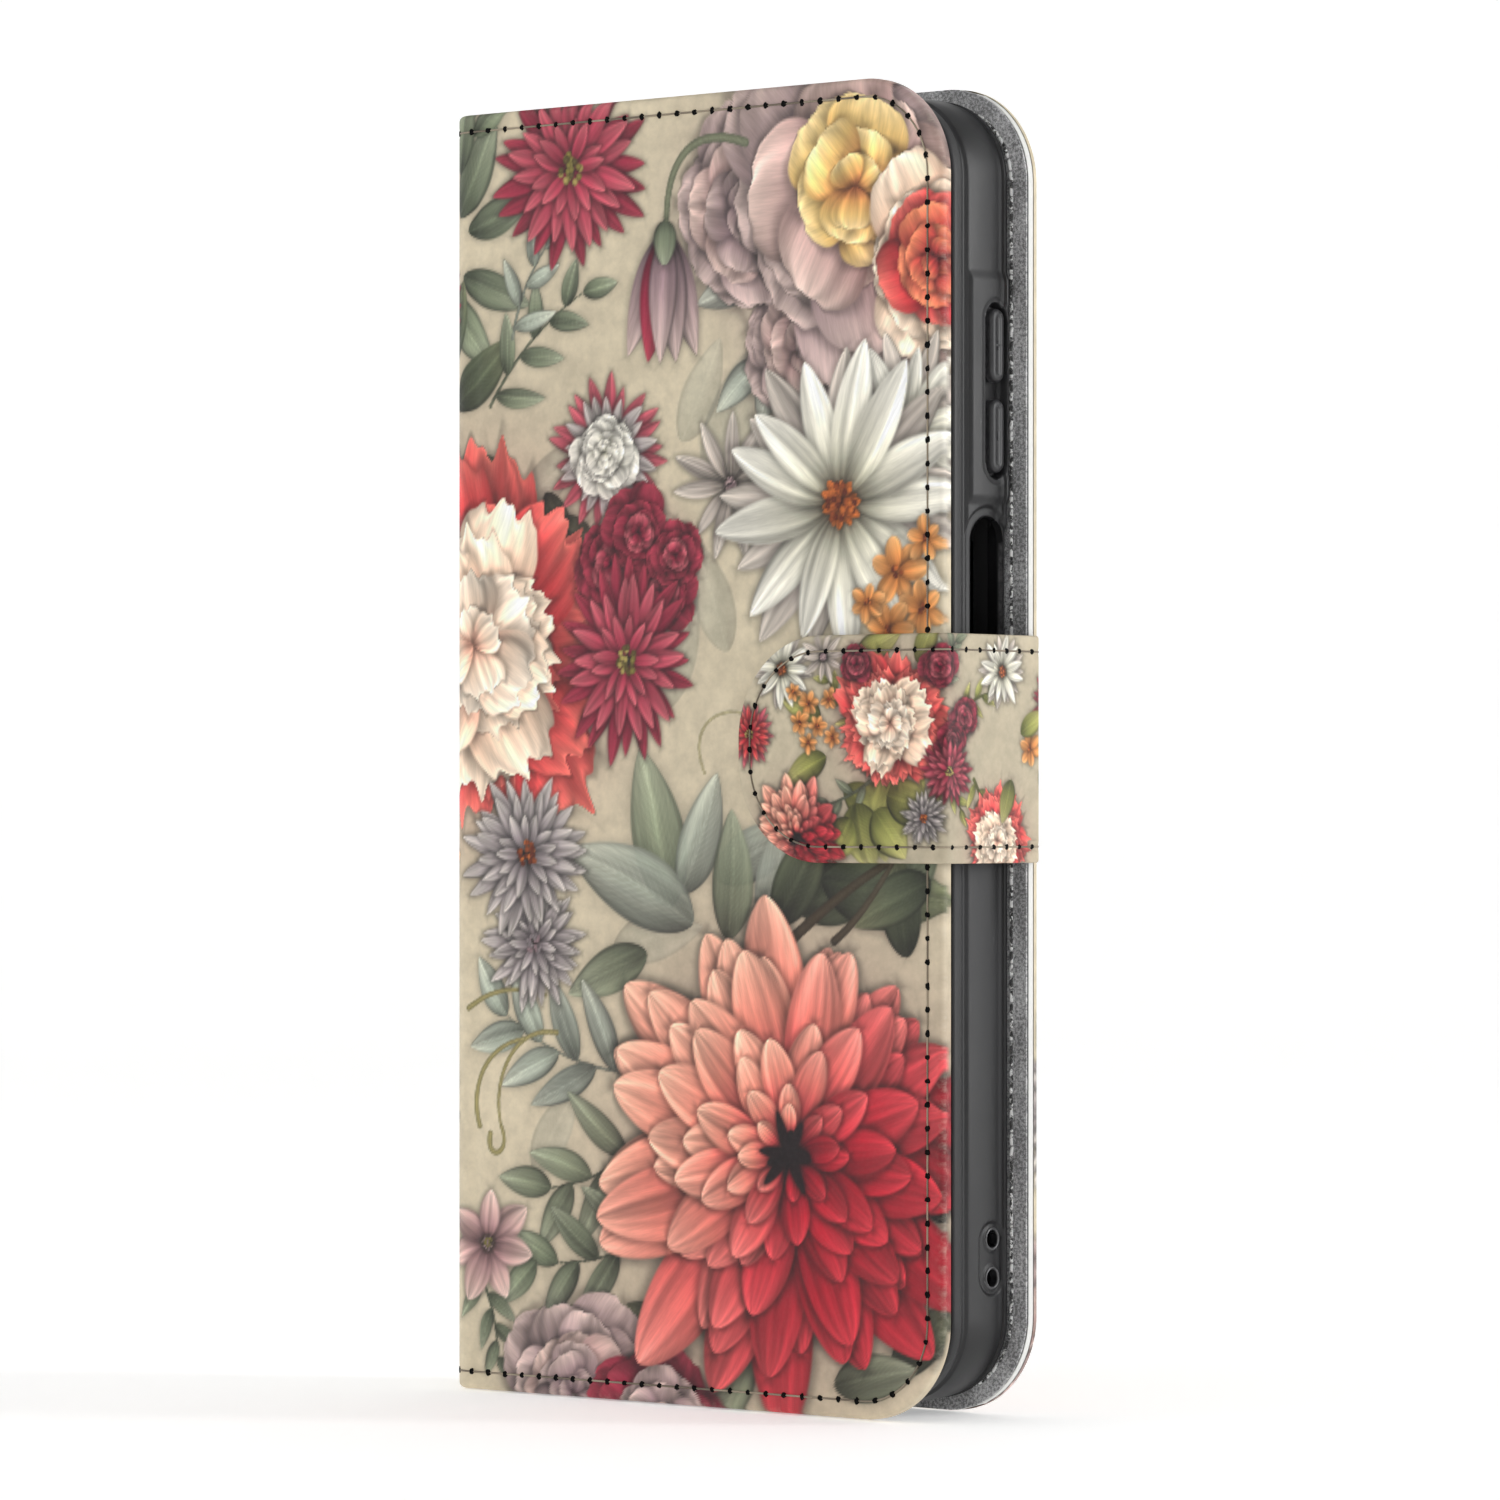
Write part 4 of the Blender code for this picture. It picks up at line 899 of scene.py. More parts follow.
def paint_strap(p, rng):
    """The strap's smaller print. Its u runs from the tip; z is measured from the strap's middle."""
    p.colour *= 0.9  # its ground is a little darker than the cover's
    leaves(p, rng, 0.5, LEAF_OLIVE, (
        ((22, -4), -70, 11), ((18, -5), -30, 10), ((26, -3), -110, 10), ((15, -1), 200, 8),
        ((28, 3), -60, 8), ((14, 4), 150, 7), ((20, 12), 20, 8), ((30, 11), 60, 7)))
    for at, angle, length in (((24, -3), 200, 15), ((22, 2), 130, 12), ((30, -2), -40, 10),
                              ((36, 4), 20, 10), ((40, -4), -70, 8), ((33, 8), 60, 7)):
        spray(p, rng, at, angle, length, 7, 3.4, LEAF if length % 2 else LEAF_OLIVE)
    leaves(p, rng, 0.75, LEAF_OLIVE, (
        ((20, -7), -80, 9), ((23, -8), -50, 8), ((25, -6), -15, 8), ((19, -9), -120, 7)))
    daisy(p, rng, (7.5, 10.5), 4.6, WHITE, 11, 0.3, EYE_ORANGE, 0.17, WHITE_BACK)
    daisy(p, rng, (14.5, 12), 3.4, WHITE_BACK, 10, 0.3, (MAUVE[1], MAUVE[2]), 0.16)
    blossoms(p, rng, (
        ((12, 6), 1.9), ((10.5, 3.5), 1.7), ((13.5, 3), 1.6), ((12, 0.8), 1.5),
        ((15.5, 6.5), 1.5), ((16, 1.5), 1.4), ((9.5, 7.5), 1.3)))
    carnation(p, rng, (25.5, 3.2), 8.8, CARNATION_OUT, CARNATION_IN, CARNATION_MID)
    rosebuds(p, rng, (
        ((20, 11), 2.6), ((33.5, 10.5), 2.8), ((38, 4), 2.6), ((35.5, 1), 2.4)))
    aster(p, rng, (35, -3), 4.0, CRIMSON, CRIMSON_PINK, EYE_GREEN)
    aster(p, rng, (31, -9), 3.2, GREY, GREY, EYE_ORANGE)
    daisy(p, rng, (46, 10), 4.2, WHITE, 11, 0.3, EYE_ORANGE, 0.17, WHITE_BACK)
    aster(p, rng, (2, 2), 3.8, CRIMSON_PINK, CARNATION_OUT, EYE_GREEN)
    dahlia(p, rng, (10, -11.5), 7.5, CORAL, RED)
    carnation(p, rng, (45, -12), 6.5, CARNATION_OUT, CARNATION_IN, CARNATION_MID)
    blossom(p, rng, (52, 0), 2.4, ORANGE, EYE_ORANGE)
    aster(p, rng, (57, 6), 4, CRIMSON, CRIMSON_PINK, EYE_GREEN)
    leaves(p, rng, 0.5, LEAF_OLIVE, (
        ((50, 2), 30, 6), ((54, -3), -40, 6), ((48, -4), 250, 6)))


def print_on(piece, u, z, painters, seed):
    p = Print(u, z, CREAM)
    rng = np.random.default_rng(seed)
    paint_ground(p, rng)
    for painter in painters:
        painter(p, rng)
    keep(piece, "print_colour", linear(*np.clip(p.colour, 4, 250).T).T, "FLOAT_COLOR")
    keep(piece, "grain", p.grain, "FLOAT_VECTOR")


# ---------------------------------------------------------------- materials

class Finish:
    """Builds one node material. Its lengths are in mm of the piece at rest."""

    def __init__(self, name, bent=True):
        self.material = bpy.data.materials.new(name)
        self.material.use_nodes = True
        self.tree = self.material.node_tree
        self.tree.nodes.clear()
        self.out = self.tree.nodes.new("ShaderNodeOutputMaterial")
        self.shader = self.tree.nodes.new("ShaderNodeBsdfPrincipled")
        self.tree.links.new(self.shader.outputs["BSDF"], self.out.inputs["Surface"])
        place = (self.attribute("sheet", "Vector") if bent
                 else self.tree.nodes.new("ShaderNodeTexCoord").outputs["Object"])
        self.place = self.vector("SCALE", place, scale=1000.0)

    def plug(self, socket, source):
        if isinstance(source, bpy.types.NodeSocket):
            self.tree.links.new(source, socket)
        else:
            socket.default_value = source

    def attribute(self, name, output="Fac"):
        node = self.tree.nodes.new("ShaderNodeAttribute")
        node.attribute_name = name
        return node.outputs[output]

    def vector(self, operation, a, b=None, scale=None):
        node = self.tree.nodes.new("ShaderNodeVectorMath")
        node.operation = operation
        self.plug(node.inputs[0], a)
        if b is not None:
            self.plug(node.inputs[1], b)
        if scale is not None:
            node.inputs["Scale"].default_value = scale
        return node.outputs[0]

    def noise(self, scale, detail=3.0, rough=0.5, vector=None, stretch=None, distortion=0.0):
        node = self.tree.nodes.new("ShaderNodeTexNoise")
        vector = self.place if vector is None else vector
        if stretch is not None:
            vector = self.vector("MULTIPLY", vector, stretch)
        self.plug(node.inputs["Vector"], vector)
        for key, value in (("Scale", scale), ("Detail", detail), ("Roughness", rough),
                           ("Distortion", distortion)):
            node.inputs[key].default_value = value
        return node.outputs["Fac"]

    def cells(self, scale):
        node = self.tree.nodes.new("ShaderNodeTexVoronoi")
        node.feature = "SMOOTH_F1"
        self.plug(node.inputs["Vector"], self.place)
        node.inputs["Scale"].default_value = scale
        return node.outputs["Distance"]

    def math(self, operation, a, b=0.0, clamp=False):
        node = self.tree.nodes.new("ShaderNodeMath")
        node.operation = operation
        node.use_clamp = clamp
        self.plug(node.inputs[0], a)
        self.plug(node.inputs[1], b)
        return node.outputs[0]

    def range(self, value, low, high, to_low=0.0, to_high=1.0):
        node = self.tree.nodes.new("ShaderNodeMapRange")
        node.interpolation_type = "SMOOTHSTEP"
        self.plug(node.inputs["Value"], value)
        for key, number in (("From Min", low), ("From Max", high), ("To Min", to_low),
                            ("To Max", to_high)):
            node.inputs[key].default_value = number
        return node.outputs[0]

    def mix(self, factor, a, b, blend="MIX"):
        node = self.tree.nodes.new("ShaderNodeMix")
        node.data_type = "RGBA"
        node.blend_type = blend
        for socket, source in ((node.inputs[0], factor), (node.inputs[6], a), (node.inputs[7], b)):
            if isinstance(source, (tuple, list, np.ndarray)):
                source = (*[float(c) for c in source], 1.0)
            self.plug(socket, source)
        return node.outputs[2]

    def grey(self, value):
        """The same number as a colour, to multiply with."""
        node = self.tree.nodes.new("ShaderNodeCombineColor")
        for i in range(3):
            self.plug(node.inputs[i], value)
        return node.outputs[0]

    def bump(self, height, strength, distance, onto=None):
        node = self.tree.nodes.new("ShaderNodeBump")
        self.plug(node.inputs["Height"], height)
        node.inputs["Strength"].default_value = strength
        node.inputs["Distance"].default_value = distance * MM
        if onto is not None:
            self.plug(node.inputs["Normal"], onto)
        return node.outputs["Normal"]

    def done(self, colour, roughness, normal=None, **constants):
        self.plug(self.shader.inputs["Base Color"], colour)
        self.plug(self.shader.inputs["Roughness"], roughness)
        if normal is not None:
            self.plug(self.shader.inputs["Normal"], normal)
        for key, value in constants.items():
            self.shader.inputs[key.replace("_", " ")].default_value = value
        return self.material


def printed_leather():
    """Imitation leather with a printed face: fine grain, painted streaks and a paler worn edge."""
    f = Finish("printed_leather")
    grain = f.attribute("grain", "Vector")
    streaks = f.noise(1.0, 4.0, 0.6, vector=grain)
    fibre = f.noise(2.6, 3.0, 0.6, vector=grain)
    colour = f.attribute("print_colour", "Color")
    tone = f.math("ADD", f.range(streaks, 0.25, 0.75, -0.10, 0.12),
                  f.range(fibre, 0.25, 0.75, -0.04, 0.04))
    tone = f.math("ADD", tone, f.range(f.noise(0.12, 2.0), 0.3, 0.7, 0.975, 1.025))
    colour = f.mix(1.0, colour, f.grey(tone), "MULTIPLY")
    worn = f.math("MULTIPLY", f.attribute("edge"), f.range(f.noise(0.9, 4.0, 0.7), 0.4, 0.75))
    colour = f.mix(f.math("MULTIPLY", worn, 0.3), colour, linear(214, 205, 186))
    pebble = f.cells(2.1)
    creases = f.noise(1.7, 4.0, 0.55, distortion=0.6)
    normal = f.bump(pebble, 0.35, 0.035)
    normal = f.bump(creases, 0.3, 0.05, normal)
    roughness = f.math("ADD", f.range(pebble, 0.1, 0.6, 0.46, 0.58),
                       f.range(f.noise(0.25, 2.0), 0.3, 0.7, -0.03, 0.03))
    return f.done(colour, roughness, normal, Specular_IOR_Level=0.35)


def suede(name, dark, pale):
    """Napped microfibre: short fibres in brushed patches."""
    f = Finish(name)
    nap = f.noise(0.22, 4.0, 0.6, stretch=(1.0, 1.0, 0.45))
    fibre = f.noise(9.0, 3.0, 0.7)
    speck = f.noise(24.0, 2.0, 0.6)
    mottle = f.noise(2.4, 3.0, 0.8)
    tone = f.math("ADD", f.range(nap, 0.35, 0.65, 0.05, 0.4),
                  f.math("ADD", f.range(mottle, 0.36, 0.64, -0.3, 0.45),
                         f.range(speck, 0.35, 0.65, -0.15, 0.15)), clamp=True)
    colour = f.mix(tone, linear(*dark), linear(*pale))
    normal = f.bump(fibre, 0.6, 0.06)
    normal = f.bump(speck, 0.35, 0.02, normal)
    f.shader.inputs["Sheen Roughness"].default_value = 0.45
    return f.done(colour, f.range(nap, 0.3, 0.7, 0.86, 0.96), normal, Sheen_Weight=0.35,
                  Specular_IOR_Level=0.2)


def board(name, colour, bent=True):
    """Pressed board: faint layers and paper fibre."""
    f = Finish(name, bent)
    fibre = f.noise(5.0, 5.0, 0.65, stretch=(1.0, 3.0, 0.4))
    patch = f.noise(0.5, 3.0)
    shade = f.math("ADD", f.range(fibre, 0.3, 0.7, 0.93, 1.02),
                   f.range(patch, 0.3, 0.7, -0.02, 0.02))
    colour = f.mix(1.0, linear(*colour), f.grey(shade), "MULTIPLY")
    return f.done(colour, f.range(patch, 0.3, 0.7, 0.62, 0.75), f.bump(fibre, 0.35, 0.05),
                  Specular_IOR_Level=0.3)


def rubber(name, dark, pale, bent=False, shine=0.0, gloss=0.3, wear_and_highlight=0.55):
    """Moulded soft plastic: a fine spark-eroded texture, flow marks, and convex edges lightened,
    partly as polished wear and partly as a painted highlight.
    """
    f = Finish(name, bent)
    spark = f.noise(11.0, 3.0, 0.65)
    coarse = f.noise(3.2, 3.0, 0.5)
    flow = f.noise(0.16, 3.0, 0.5, stretch=(1.0, 1.0, 0.3))
    tone = f.math("ADD", f.range(spark, 0.3, 0.7, 0.2, 0.55),
                  f.range(flow, 0.3, 0.7, -0.2, 0.35), clamp=True)
    colour = f.mix(tone, linear(*dark), linear(*pale))
    geometry = f.tree.nodes.new("ShaderNodeNewGeometry")
    # Convex edges turn pale grey: partly polished wear, partly a painted highlight along rims and
    # edges.
    worn = f.range(geometry.outputs["Pointiness"], 0.52, 0.60)
    worn = f.math("MULTIPLY", worn, f.range(f.noise(1.1, 4.0, 0.6), 0.35, 0.7, 0.3, 1.0))
    colour = f.mix(f.math("MULTIPLY", worn, wear_and_highlight), colour, linear(122, 122, 124))
    normal = f.bump(spark, 0.30, 0.018)
    normal = f.bump(coarse, 0.12, 0.02, normal)
    roughness = f.math("SUBTRACT", f.range(flow, 0.3, 0.7, 0.40 - shine, 0.50 - shine),
                       f.math("MULTIPLY", worn, 0.12))
    return f.done(colour, roughness, normal, Specular_IOR_Level=gloss)


def thread(name, dark, pale, patches=0.0):
    """Twisted thread: the tone of each stitch differs a little and the plies show as ridges."""
    f = Finish(name)
    tone = f.range(f.attribute("tone"), 0.75, 1.25)
    if patches:
        worn = f.range(f.noise(patches, 3.0, 0.7), 0.46, 0.54)
        tone = f.math("MULTIPLY", f.math("ADD", tone, 0.9), worn)
    fuzz = f.noise(14.0, 3.0, 0.7)
    tone = f.math("ADD", tone, f.range(fuzz, 0.3, 0.7, -0.25, 0.25), clamp=True)
    colour = f.mix(tone, linear(*dark), linear(*pale))
    ply = f.tree.nodes.new("ShaderNodeTexWave")
    ply.bands_direction = "DIAGONAL"
    ply.inputs["Scale"].default_value = 2.6
    ply.inputs["Distortion"].default_value = 1.0
    f.plug(ply.inputs["Vector"], f.place)
    normal = f.bump(ply.outputs["Fac"], 0.7, 0.08)
    normal = f.bump(fuzz, 0.4, 0.03, normal)
    return f.done(colour, f.range(fuzz, 0.3, 0.7, 0.5, 0.7), normal, Sheen_Weight=0.2,
                  Specular_IOR_Level=0.4)


def metal(name):
    """A nickel-plated magnet: fine brushing and a few duller patches."""
    f = Finish(name, False)
    brushed = f.noise(3.0, 3.0, 0.6, stretch=(0.2, 1.0, 6.0))
    patch = f.noise(0.3, 3.0)
    colour = f.mix(f.range(patch, 0.35, 0.65), linear(150, 150, 152),
                   linear(186, 184, 180))
    roughness = f.math("ADD", f.range(brushed, 0.3, 0.7, 0.22, 0.38),
                       f.range(patch, 0.3, 0.7, 0.0, 0.08))
    return f.done(colour, roughness, f.bump(brushed, 0.25, 0.01), Metallic=1.0)


def glue(name):
    """A pressed film of glue: smeared, slightly yellow and uneven."""
    f = Finish(name, False)
    smear = f.noise(0.4, 4.0, 0.6, stretch=(1.0, 1.0, 0.3), distortion=1.2)
    colour = f.mix(f.range(smear, 0.3, 0.7), linear(176, 168, 140),
                   linear(204, 198, 176))
    return f.done(colour, f.range(smear, 0.3, 0.7, 0.25, 0.45), f.bump(smear, 0.4, 0.05))


def pocket_leather():
    """Plain imitation leather for the card pockets: pebbled, with soft creases."""
    f = Finish("pocket_leather")
    pebble = f.cells(1.9)
    crease = f.noise(0.7, 4.0, 0.55, distortion=0.8)
    tone = f.math("ADD", f.range(crease, 0.3, 0.7, 0.0, 0.7), f.range(pebble, 0.0, 0.6, -0.2, 0.3),
                  clamp=True)
    colour = f.mix(tone, linear(92, 90, 88), linear(124, 121, 117))
    colour = f.mix(f.math("MULTIPLY", f.attribute("edge"), 0.5), colour, linear(150, 147, 142))
    normal = f.bump(pebble, 0.5, 0.05)
    normal = f.bump(crease, 0.3, 0.08, normal)
    return f.done(colour, f.range(pebble, 0.1, 0.6, 0.48, 0.62), normal, Specular_IOR_Level=0.35)


PRINT = printed_leather()
SUEDE = suede("suede_lining", (112, 112, 113), (226, 226, 227))
CORE = board("white_core", (227, 227, 224))
CUT_LINE = rubber("cut_line", (20, 18, 18), (44, 40, 40), bent=True)
RUBBER = rubber("shell_rubber", (18, 18, 19), (36, 36, 38), gloss=0.42)
# Paler than the shell's rubber: the eyelet rings carry a painted highlight.
RING_RUBBER_HIGHLIT = rubber("ring_rubber_highlit", (34, 34, 36), (70, 70, 72), shine=0.16, gloss=0.8)
KEY_RUBBER = rubber("key_rubber", (26, 26, 28), (44, 44, 46), shine=0.06, gloss=0.4)
THREAD_TAN = thread("thread_tan", (104, 92, 76), (168, 154, 132))
THREAD_BLACK = thread("thread_black", (14, 12, 12), (52, 46, 44))
THREAD_GREY = thread("thread_grey", (16, 16, 16), (250, 250, 248), patches=0.9)
# Near black: the painted shade inside the needle holes.
NEEDLE_HOLE_SHADE = rubber("needle_hole_shade", (3, 3, 3), (9, 8, 8), bent=True, gloss=0.05, wear_and_highlight=0.0)
POCKET = pocket_leather()


def dress(piece, material, body=None, bend=None, replaced=()):
    """Gives a piece its material and slot and hangs it on a body; given a bend, it only bakes the
    piece's place into its mesh.
    """
    piece.data.materials.append(material)
    if "sheet" not in piece.data.attributes:
        at = np.array([v.co for v in piece.data.vertices])
        keep(piece, "sheet", at, "FLOAT_VECTOR")
    if "edge" not in piece.data.attributes:
        keep(piece, "edge", np.zeros(len(piece.data.vertices)))
    if replaced:
        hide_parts(*replaced)
    if bend:
        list(bend)
        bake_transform(piece)
    else:
        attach(piece, body)
    return piece


# ---------------------------------------------------------------- the covers

FINE = 0.26  # the pitch of the printed faces' vertices in mm
BEND = 0.42 * MM  # half the width over which a cover bends at its crease
FOLD_FRONT = ("spine", "front_cover", (CREASE_X - BEND, FRONT_Y, 0), (CREASE_X + BEND, FRONT_Y, 0))
FOLD_LINING = FOLD_FRONT[:3] + ((CREASE_X + 2.4 * MM, FRONT_Y, 0),)
FOLD_REAR = ("back", "spine", (CREASE_X + BEND, REAR_Y, 0), (CREASE_X - BEND, REAR_Y, 0))
front_place, rear_place = cover_place(-1), cover_place(1)
# The front sheets reach round the spine to where the back cover's sheets begin.
SPLIT = SPINE_FLAT / 2 - 0.4 * MM
FRONT = Panel(U_MIDDLE - SPLIT, FRONT_FREE_X, 0.0, HEIGHT, CORNER)
REAR = Panel(U_MIDDLE + SPLIT, FREE_X, 0.0, HEIGHT, CORNER)
FRONT_LINING = Panel(U_MIDDLE - SPLIT - 0.8 * MM, FRONT_FREE_X, 0.0, HEIGHT, CORNER).inset(1 * MM)


def cover_relief(u, z, d):
    """The pressed crease beside the spine, the seam's groove and a slight swell between."""
    crease = 0.13 * MM * np.exp(-(((u - CREASE_U) / (0.75 * MM)) ** 2))
    seam = 0.11 * MM * np.exp(-(((d - SEAM_INSET) / (0.42 * MM)) ** 2))
    return crease + seam


def camera_hole(margin):
    return lambda u, z: round_box(u, z, *camera_outline(margin))


def gather(piece, u, z, high, gain):
    """Packs the nap's pattern closer at a crease, where the sheet stretches as it opens. It is packed
    by gain from half a bend before the crease to high beyond it."""
    packed = u + gain * np.clip(u - CREASE_X, -BEND, high)
    sheet = np.c_[packed, np.zeros_like(u), z].astype(np.float32)
    piece.data.attributes["sheet"].data.foreach_set("vector", sheet.ravel())


front_print, u, z = build_sheet("front_print", FRONT, front_place, FINE * MM, 0.0, 1, 0.75 * MM,
                                2.2 * MM, margin=1.7 * MM, relief=cover_relief, bends=BEND_STATIONS)
print_on(front_print, u, z, (paint_front,), 11)
dress(front_print, PRINT, bend=FOLD_FRONT, replaced=("front_skin", "spine_skin"))

front_suede, u, z = build_sheet("front_suede", FRONT_LINING, front_place, 1.0 * MM, 2.34 * MM,
                                -1, 0.12 * MM, 2.1 * MM, bends=BEND_STATIONS)
gather(front_suede, u, z, 2.4 * MM, 1.8)
dress(front_suede, SUEDE, bend=FOLD_LINING, replaced=("front_lining", "spine_lining"))

rear_print, u, z = build_sheet("rear_print", REAR, rear_place, 0.5 * MM, 0.0, 1, 0.32 * MM,
                               0.78 * MM, relief=cover_relief, hole=camera_hole(0.8 * MM),
                               bends=BEND_STATIONS)
print_on(rear_print, 2 * U_MIDDLE - u, z, (paint_front, paint_back), 12)
dress(rear_print, PRINT, bend=FOLD_REAR, replaced=("back_skin",))

rear_core, u, z = build_sheet("rear_core", REAR.inset(0.03 * MM), rear_place, 1.0 * MM, 0.76 * MM,
                              1, 0.08 * MM, 1.74 * MM, margin=2.0 * MM,
                              hole=camera_hole(0.83 * MM), bends=BEND_STATIONS)
dress(rear_core, CORE, bend=FOLD_REAR, replaced=("back_board",))

rear_line, u, z = build_sheet("rear_glue_line", REAR.inset(0.16 * MM), rear_place, 2.0 * MM,
                              1.7 * MM, 1, 0.03 * MM, 2.08 * MM, hole=camera_hole(0.9 * MM),
                              bends=BEND_STATIONS)
dress(rear_line, CUT_LINE, bend=FOLD_REAR)

rear_suede, u, z = build_sheet("rear_suede", REAR.inset(0.05 * MM), rear_place, 0.7 * MM,
                               2.3 * MM, -1, 0.1 * MM, 2.04 * MM, hole=camera_hole(0.8 * MM),
                               bends=BEND_STATIONS,
                               relief=lambda u, z, d: 0.12 * MM * np.exp(
                                   -(((d - LINING_SEAM_INSET) / (0.4 * MM)) ** 2)))
gather(rear_suede, u, z, BEND, 8.0)
dress(rear_suede, SUEDE, bend=FOLD_REAR, replaced=("back_lining",))

for name, panel, place, bend, replaced in (
    ("front_seam", FRONT, front_place, FOLD_FRONT,
     ("front_stitching", "spine_stitching_top", "spine_stitching_bottom")),
    ("rear_seam", REAR, rear_place, FOLD_REAR, ("back_stitching",)),
):
    stitches, holes = build_stitches(name, panel.walk(SEAM_INSET), place, 0.94, 0.13 * MM,
                                     0.07 * MM, 1)
    dress(stitches, THREAD_TAN, bend=bend, replaced=replaced)
    dress(holes, NEEDLE_HOLE_SHADE, bend=bend)

lining_seam, _ = build_stitches(
    "lining_seam", REAR.walk(LINING_SEAM_INSET, start=FOLD_START_X + 1 * MM), rear_place, 0.93,
    0.25 * MM, 2.24 * MM, -1, pitch=1.7 * MM, hole=0, waver=0.07 * MM)
dress(lining_seam, THREAD_GREY, bend=FOLD_REAR, replaced=("lining_stitching",))


# ---------------------------------------------------------------- the strap

STRAP_THICK = TAB_BACK_Y - TAB_FACE_Y
ROOT_BEND = ("back", "strap_bridge", (FREE_X - 0.15 * MM, REAR_Y - 0.9 * MM, 0),
             (BRIDGE_FACE_X - 0.1 * MM, REAR_Y - 2.2 * MM, 0))
TIP_BEND = ("strap_bridge", "strap_tab", (BRIDGE_FACE_X - 0.2 * MM, FRONT_Y + 0.05 * MM, 0),
            (BRIDGE_BACK_X - 0.5 * MM, TAB_FACE_Y + 0.6 * MM, 0))
STRAP_ROOT = Panel(-STRAP_HIDDEN, STRAP_MIDDLE_U, STRAP_LOW, STRAP_HIGH, free=False)
STRAP_TAB = Panel(STRAP_MIDDLE_U, STRAP_TIP_U, STRAP_LOW, STRAP_HIGH, STRAP_TIP)
STRAP_MIDDLE_Z = (STRAP_LOW + STRAP_HIGH) / 2


def strap_relief(u, z, d):
    return 0.09 * MM * np.exp(-(((d - STRAP_SEAM_INSET) / (0.4 * MM)) ** 2))


for part, panel, bend, replaced in (
    ("root", STRAP_ROOT, ROOT_BEND,
     ("strap_bridge_skin", "strap_bridge_lining", "bridge_stitching_bottom",
      "bridge_stitching_top")),
    ("tab", STRAP_TAB, TIP_BEND, ("strap_tab_skin", "strap_tab_lining", "strap_tab_stitching")),
):
    skin, u, z = build_sheet(f"strap_{part}_print", panel, strap_place, (FINE - 0.1) * MM, 0.0, 1,
                             0.42 * MM, 0.72, margin=0.0, relief=strap_relief, unit=STRAP_THICK)
    print_on(skin, STRAP_TIP_U - u, z - STRAP_MIDDLE_Z, (paint_strap,), 13)
    dress(skin, PRINT, bend=bend, replaced=replaced[:1])
    inner, u, z = build_sheet(f"strap_{part}_lining", panel.inset(0.06 * MM), strap_place,
                              0.3 * MM, 1.0, -1, 0.3 * MM, 0.68, unit=STRAP_THICK)
    dress(inner, SUEDE, bend=bend, replaced=replaced[1:2])
    lines = panel.walk(STRAP_SEAM_INSET, start=max(panel.start, 0.3 * MM))
    stitches, holes = build_stitches(f"strap_{part}_seam", lines, strap_place, 0.94, 0.12 * MM,
                                     0.06 * MM / STRAP_THICK, 1, STRAP_THICK, 2.9 * MM,
                                     hole=0.34 * MM)
    dress(stitches, THREAD_TAN, bend=bend, replaced=replaced[2:])
    dress(holes, NEEDLE_HOLE_SHADE, bend=bend)


# ---------------------------------------------------------------- the moulded shell

WALL = 1.35 * MM
WALL_X = SHELL_HIGH.x  # the outer face of the wall that carries the keys
BACK_Y, RIM_Y = SHELL_HIGH.y, SHELL_LOW.y
SHELL_CORNER = 11.0 * MM
FLOOR_Y = BACK_Y - 1.2 * MM
LIP = 1.1 * MM
PHONE_X = (SHELL_LOW.x + SHELL_HIGH.x) / 2
PHONE_Y = FLOOR_Y - 4.5 * MM
ROW_STEP = 0.17  # the pitch of the wall's section in mm
EYELET_Y, EYELET_WIDTH = BACK_Y - 3.2 * MM, 2.3 * MM
CUT, PRESSED = 0.16 * MM, 0.3 * MM  # how softly an opening's edge and a recess's edge round over


def slot_shape(axis, middle, width, low, high):
    """Distance to a slot with round ends that runs along a wall. axis is 0 for x and 2 for z."""
    def distance(along, y):
        half = (high - low) / 2 - width / 2
        away = np.maximum(np.abs(along - (low + high) / 2) - half, 0)
        return np.hypot(away, y - middle) - width / 2
    return axis, distance


